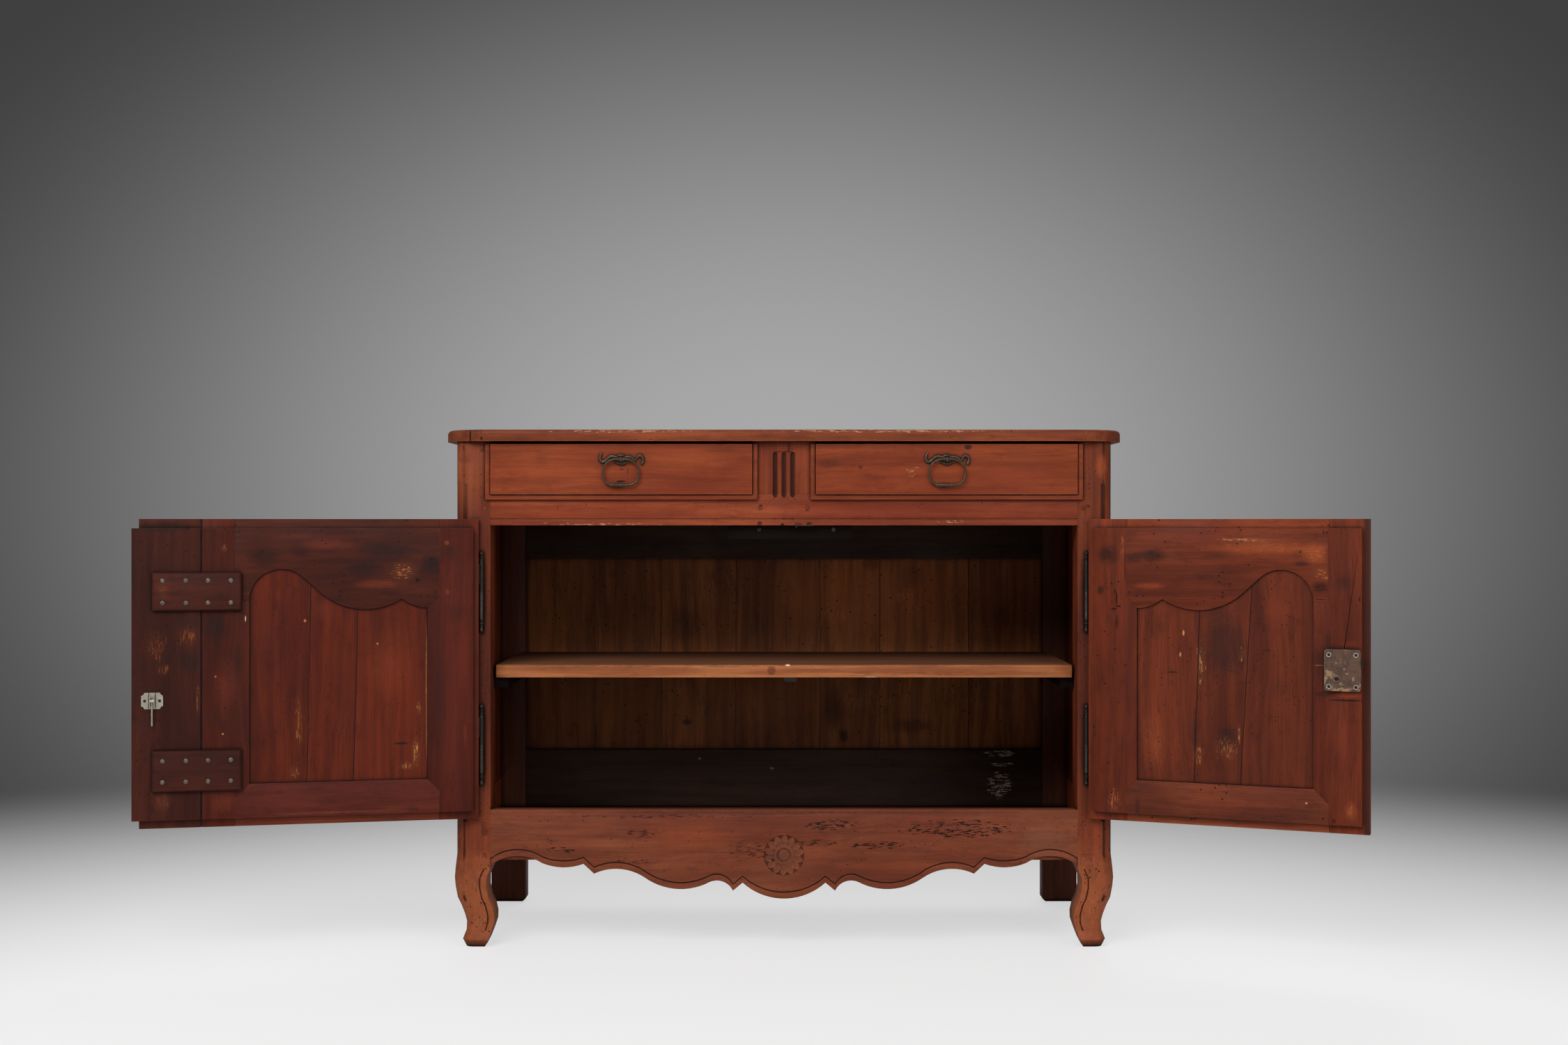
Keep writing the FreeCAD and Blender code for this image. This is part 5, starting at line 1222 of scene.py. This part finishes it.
def add_fixings():
    screw = slotted_screw()
    catch_slot = squared_bar("slot_shade", *CATCH_SLOT, 0.05)
    nail = turned_piece("nail", NAIL_HEAD, 8)
    rim = turned_piece("rim", RIVET_RIM, 24)
    core = turned_piece("core", RIVET_CORE, 12)
    tube = turned_piece("tube", KEY_TUBE, 28)
    dark = turned_piece("dark", KEY_CORE, 20)
    battens = [on_left_door(u, BATTEN_FACE, z) for u in SCREW_COLUMNS for z in SCREW_ROWS]
    stop = [at(*place) @ FACING_FRONT for place in STOP_SCREWS]
    back = [at(x, NAIL_FACE, z) @ FACING_REAR for x in NAIL_COLUMNS for z in NAIL_ROWS]
    rivets = [on_right_door(*place) for place in RIVETS]
    key = [on_right_door(*KEY_PLACE)]
    set_of("batten_screws", screw, battens, "screw_steel", "left_door", "old_iron", 0.83)
    set_of("catch_screws", screw, on_catch(13.0), "black_iron_and_shade", "left_door", "dark_iron", 0.6, 0.62)
    set_of("catch_slots", catch_slot, on_catch(6.0), "black_iron_and_shade", "left_door", "dark_iron")
    set_of("stop_screws", screw, stop, "hinge_iron", "carcase", "old_iron", 0.9)
    set_of("back_nails", nail, back, "hinge_iron", "carcase", "dark_iron", 0.4)
    set_of("lock_rivet_rims", rim, rivets, "nickel", "right_door", "nickel")
    # The rivets' black centres and the black key hole are painted shade of holes
    set_of("lock_rivets", core, rivets, "black_iron_and_shade", "right_door", "dark_iron")
    set_of("lock_key_tube", tube, key, "lock_iron", "right_door", "old_iron")
    set_of("lock_key_hole", dark, key, "black_iron_and_shade", "right_door", "dark_iron")
    remove(screw, catch_slot, nail, rim, core, tube, dark)


# Camera, floor and light

FLOOR_RADIUS = 9.0
FLOOR_LEVEL = -0.0005
GLOW_CENTRE = (0.0, -1.6, 0.0)
LAMPS = [
    ("key_light", (-1.5, -3.6, 3.2), (0, -0.2, 0.4), (2.6, 2.0), 125.0),
    ("fill_light", (2.4, -4.2, 1.8), (0, -0.2, 0.5), (2.4, 2.4), 50.0),
    ("back_light", (0.4, 2.6, 3.2), (0, 0.1, 0.4), (2.6, 1.6), 40.0),
]


def add_camera():
    data = bpy.data.cameras.new("camera")
    data.lens = CAMERA_LENS
    data.sensor_width = SENSOR_WIDTH
    camera = new_object("camera", data)
    camera.location = CAMERA_PLACE
    camera.rotation_euler = (math.radians(90.0), 0.0, 0.0)
    scene.camera = camera


def add_floor():
    """A pale floor whose light fades away from the buffet into the grey behind."""
    bpy.ops.mesh.primitive_circle_add(vertices=96, radius=FLOOR_RADIUS, fill_type="NGON",
                                      location=(0, 0, FLOOR_LEVEL))
    floor = bpy.context.object
    floor.name = "floor"
    material, tree, shader = start_material("floor")
    far = length(vector_calc("SUBTRACT", object_place(tree), GLOW_CENTRE))
    seen = add(tree, "ShaderNodeLightPath").outputs["Is Camera Ray"]
    tree.links.new(remap(seen, 0.0, 1.0, 0.85, 0.32), shader.inputs["Base Color"])
    tree.links.new(seen, shader.inputs["Emission Color"])
    shader.inputs["Emission Strength"].default_value = 0.62
    shader.inputs["Roughness"].default_value = 0.6
    shader.inputs["Specular IOR Level"].default_value = 0.1
    clear = tree.nodes.new("ShaderNodeBsdfTransparent")
    faded = {0: remap(far, 1.3, 4.4), 1: shader.outputs[0], 2: clear.outputs[0]}
    mixed = step("ShaderNodeMixShader", faded).outputs[0]
    tree.links.new(mixed, tree.nodes["Material Output"].inputs[0])
    floor.data.materials.append(material)


def add_lamp(name, place, target, size, power):
    data = bpy.data.lights.new(name, "AREA")
    data.shape = "RECTANGLE"
    data.size, data.size_y = size
    data.energy = power
    lamp = new_object(name, data)
    lamp.location = place
    lamp.rotation_euler = (Vector(target) - Vector(place)).to_track_quat("-Z", "Y").to_euler()


def add_world():
    """Even light all round; for the camera a grey wall with a pale glow in the middle of each side."""
    world = bpy.data.worlds.new("studio")
    scene.world = world
    world.use_nodes = True
    tree = world.node_tree
    tree.nodes.clear()
    parts = axes(add(tree, "ShaderNodeTexCoord").outputs["Generated"])
    sizes = [calc("ABSOLUTE", parts[i]) for i in (0, 1)]
    aside = calc("DIVIDE", calc("MINIMUM", *sizes), 1.45)
    up = minus(parts[2], 0.017)
    square = plus(times(aside, aside), times(up, up))
    shade = remap(calc("SQRT", square), 0.02, 0.32, 0.39, 0.05)
    seen = step("ShaderNodeBackground", {"Color": shade, "Strength": 1.0}).outputs[0]
    light = add(tree, "ShaderNodeBackground", {"Color": (1, 1, 1, 1), "Strength": 0.25}).outputs[0]
    camera_ray = add(tree, "ShaderNodeLightPath").outputs["Is Camera Ray"]
    mixed = step("ShaderNodeMixShader", {0: camera_ray, 1: light, 2: seen}).outputs[0]
    step("ShaderNodeOutputWorld", {0: mixed})


add_camera()
add_world()
for lamp in LAMPS:
    add_lamp(*lamp)
add_floor()
dress_wood()
dress_metal()
add_hinges()
add_rosette()
add_pulls()
add_fixings()
scene.view_settings.view_transform = "Standard"
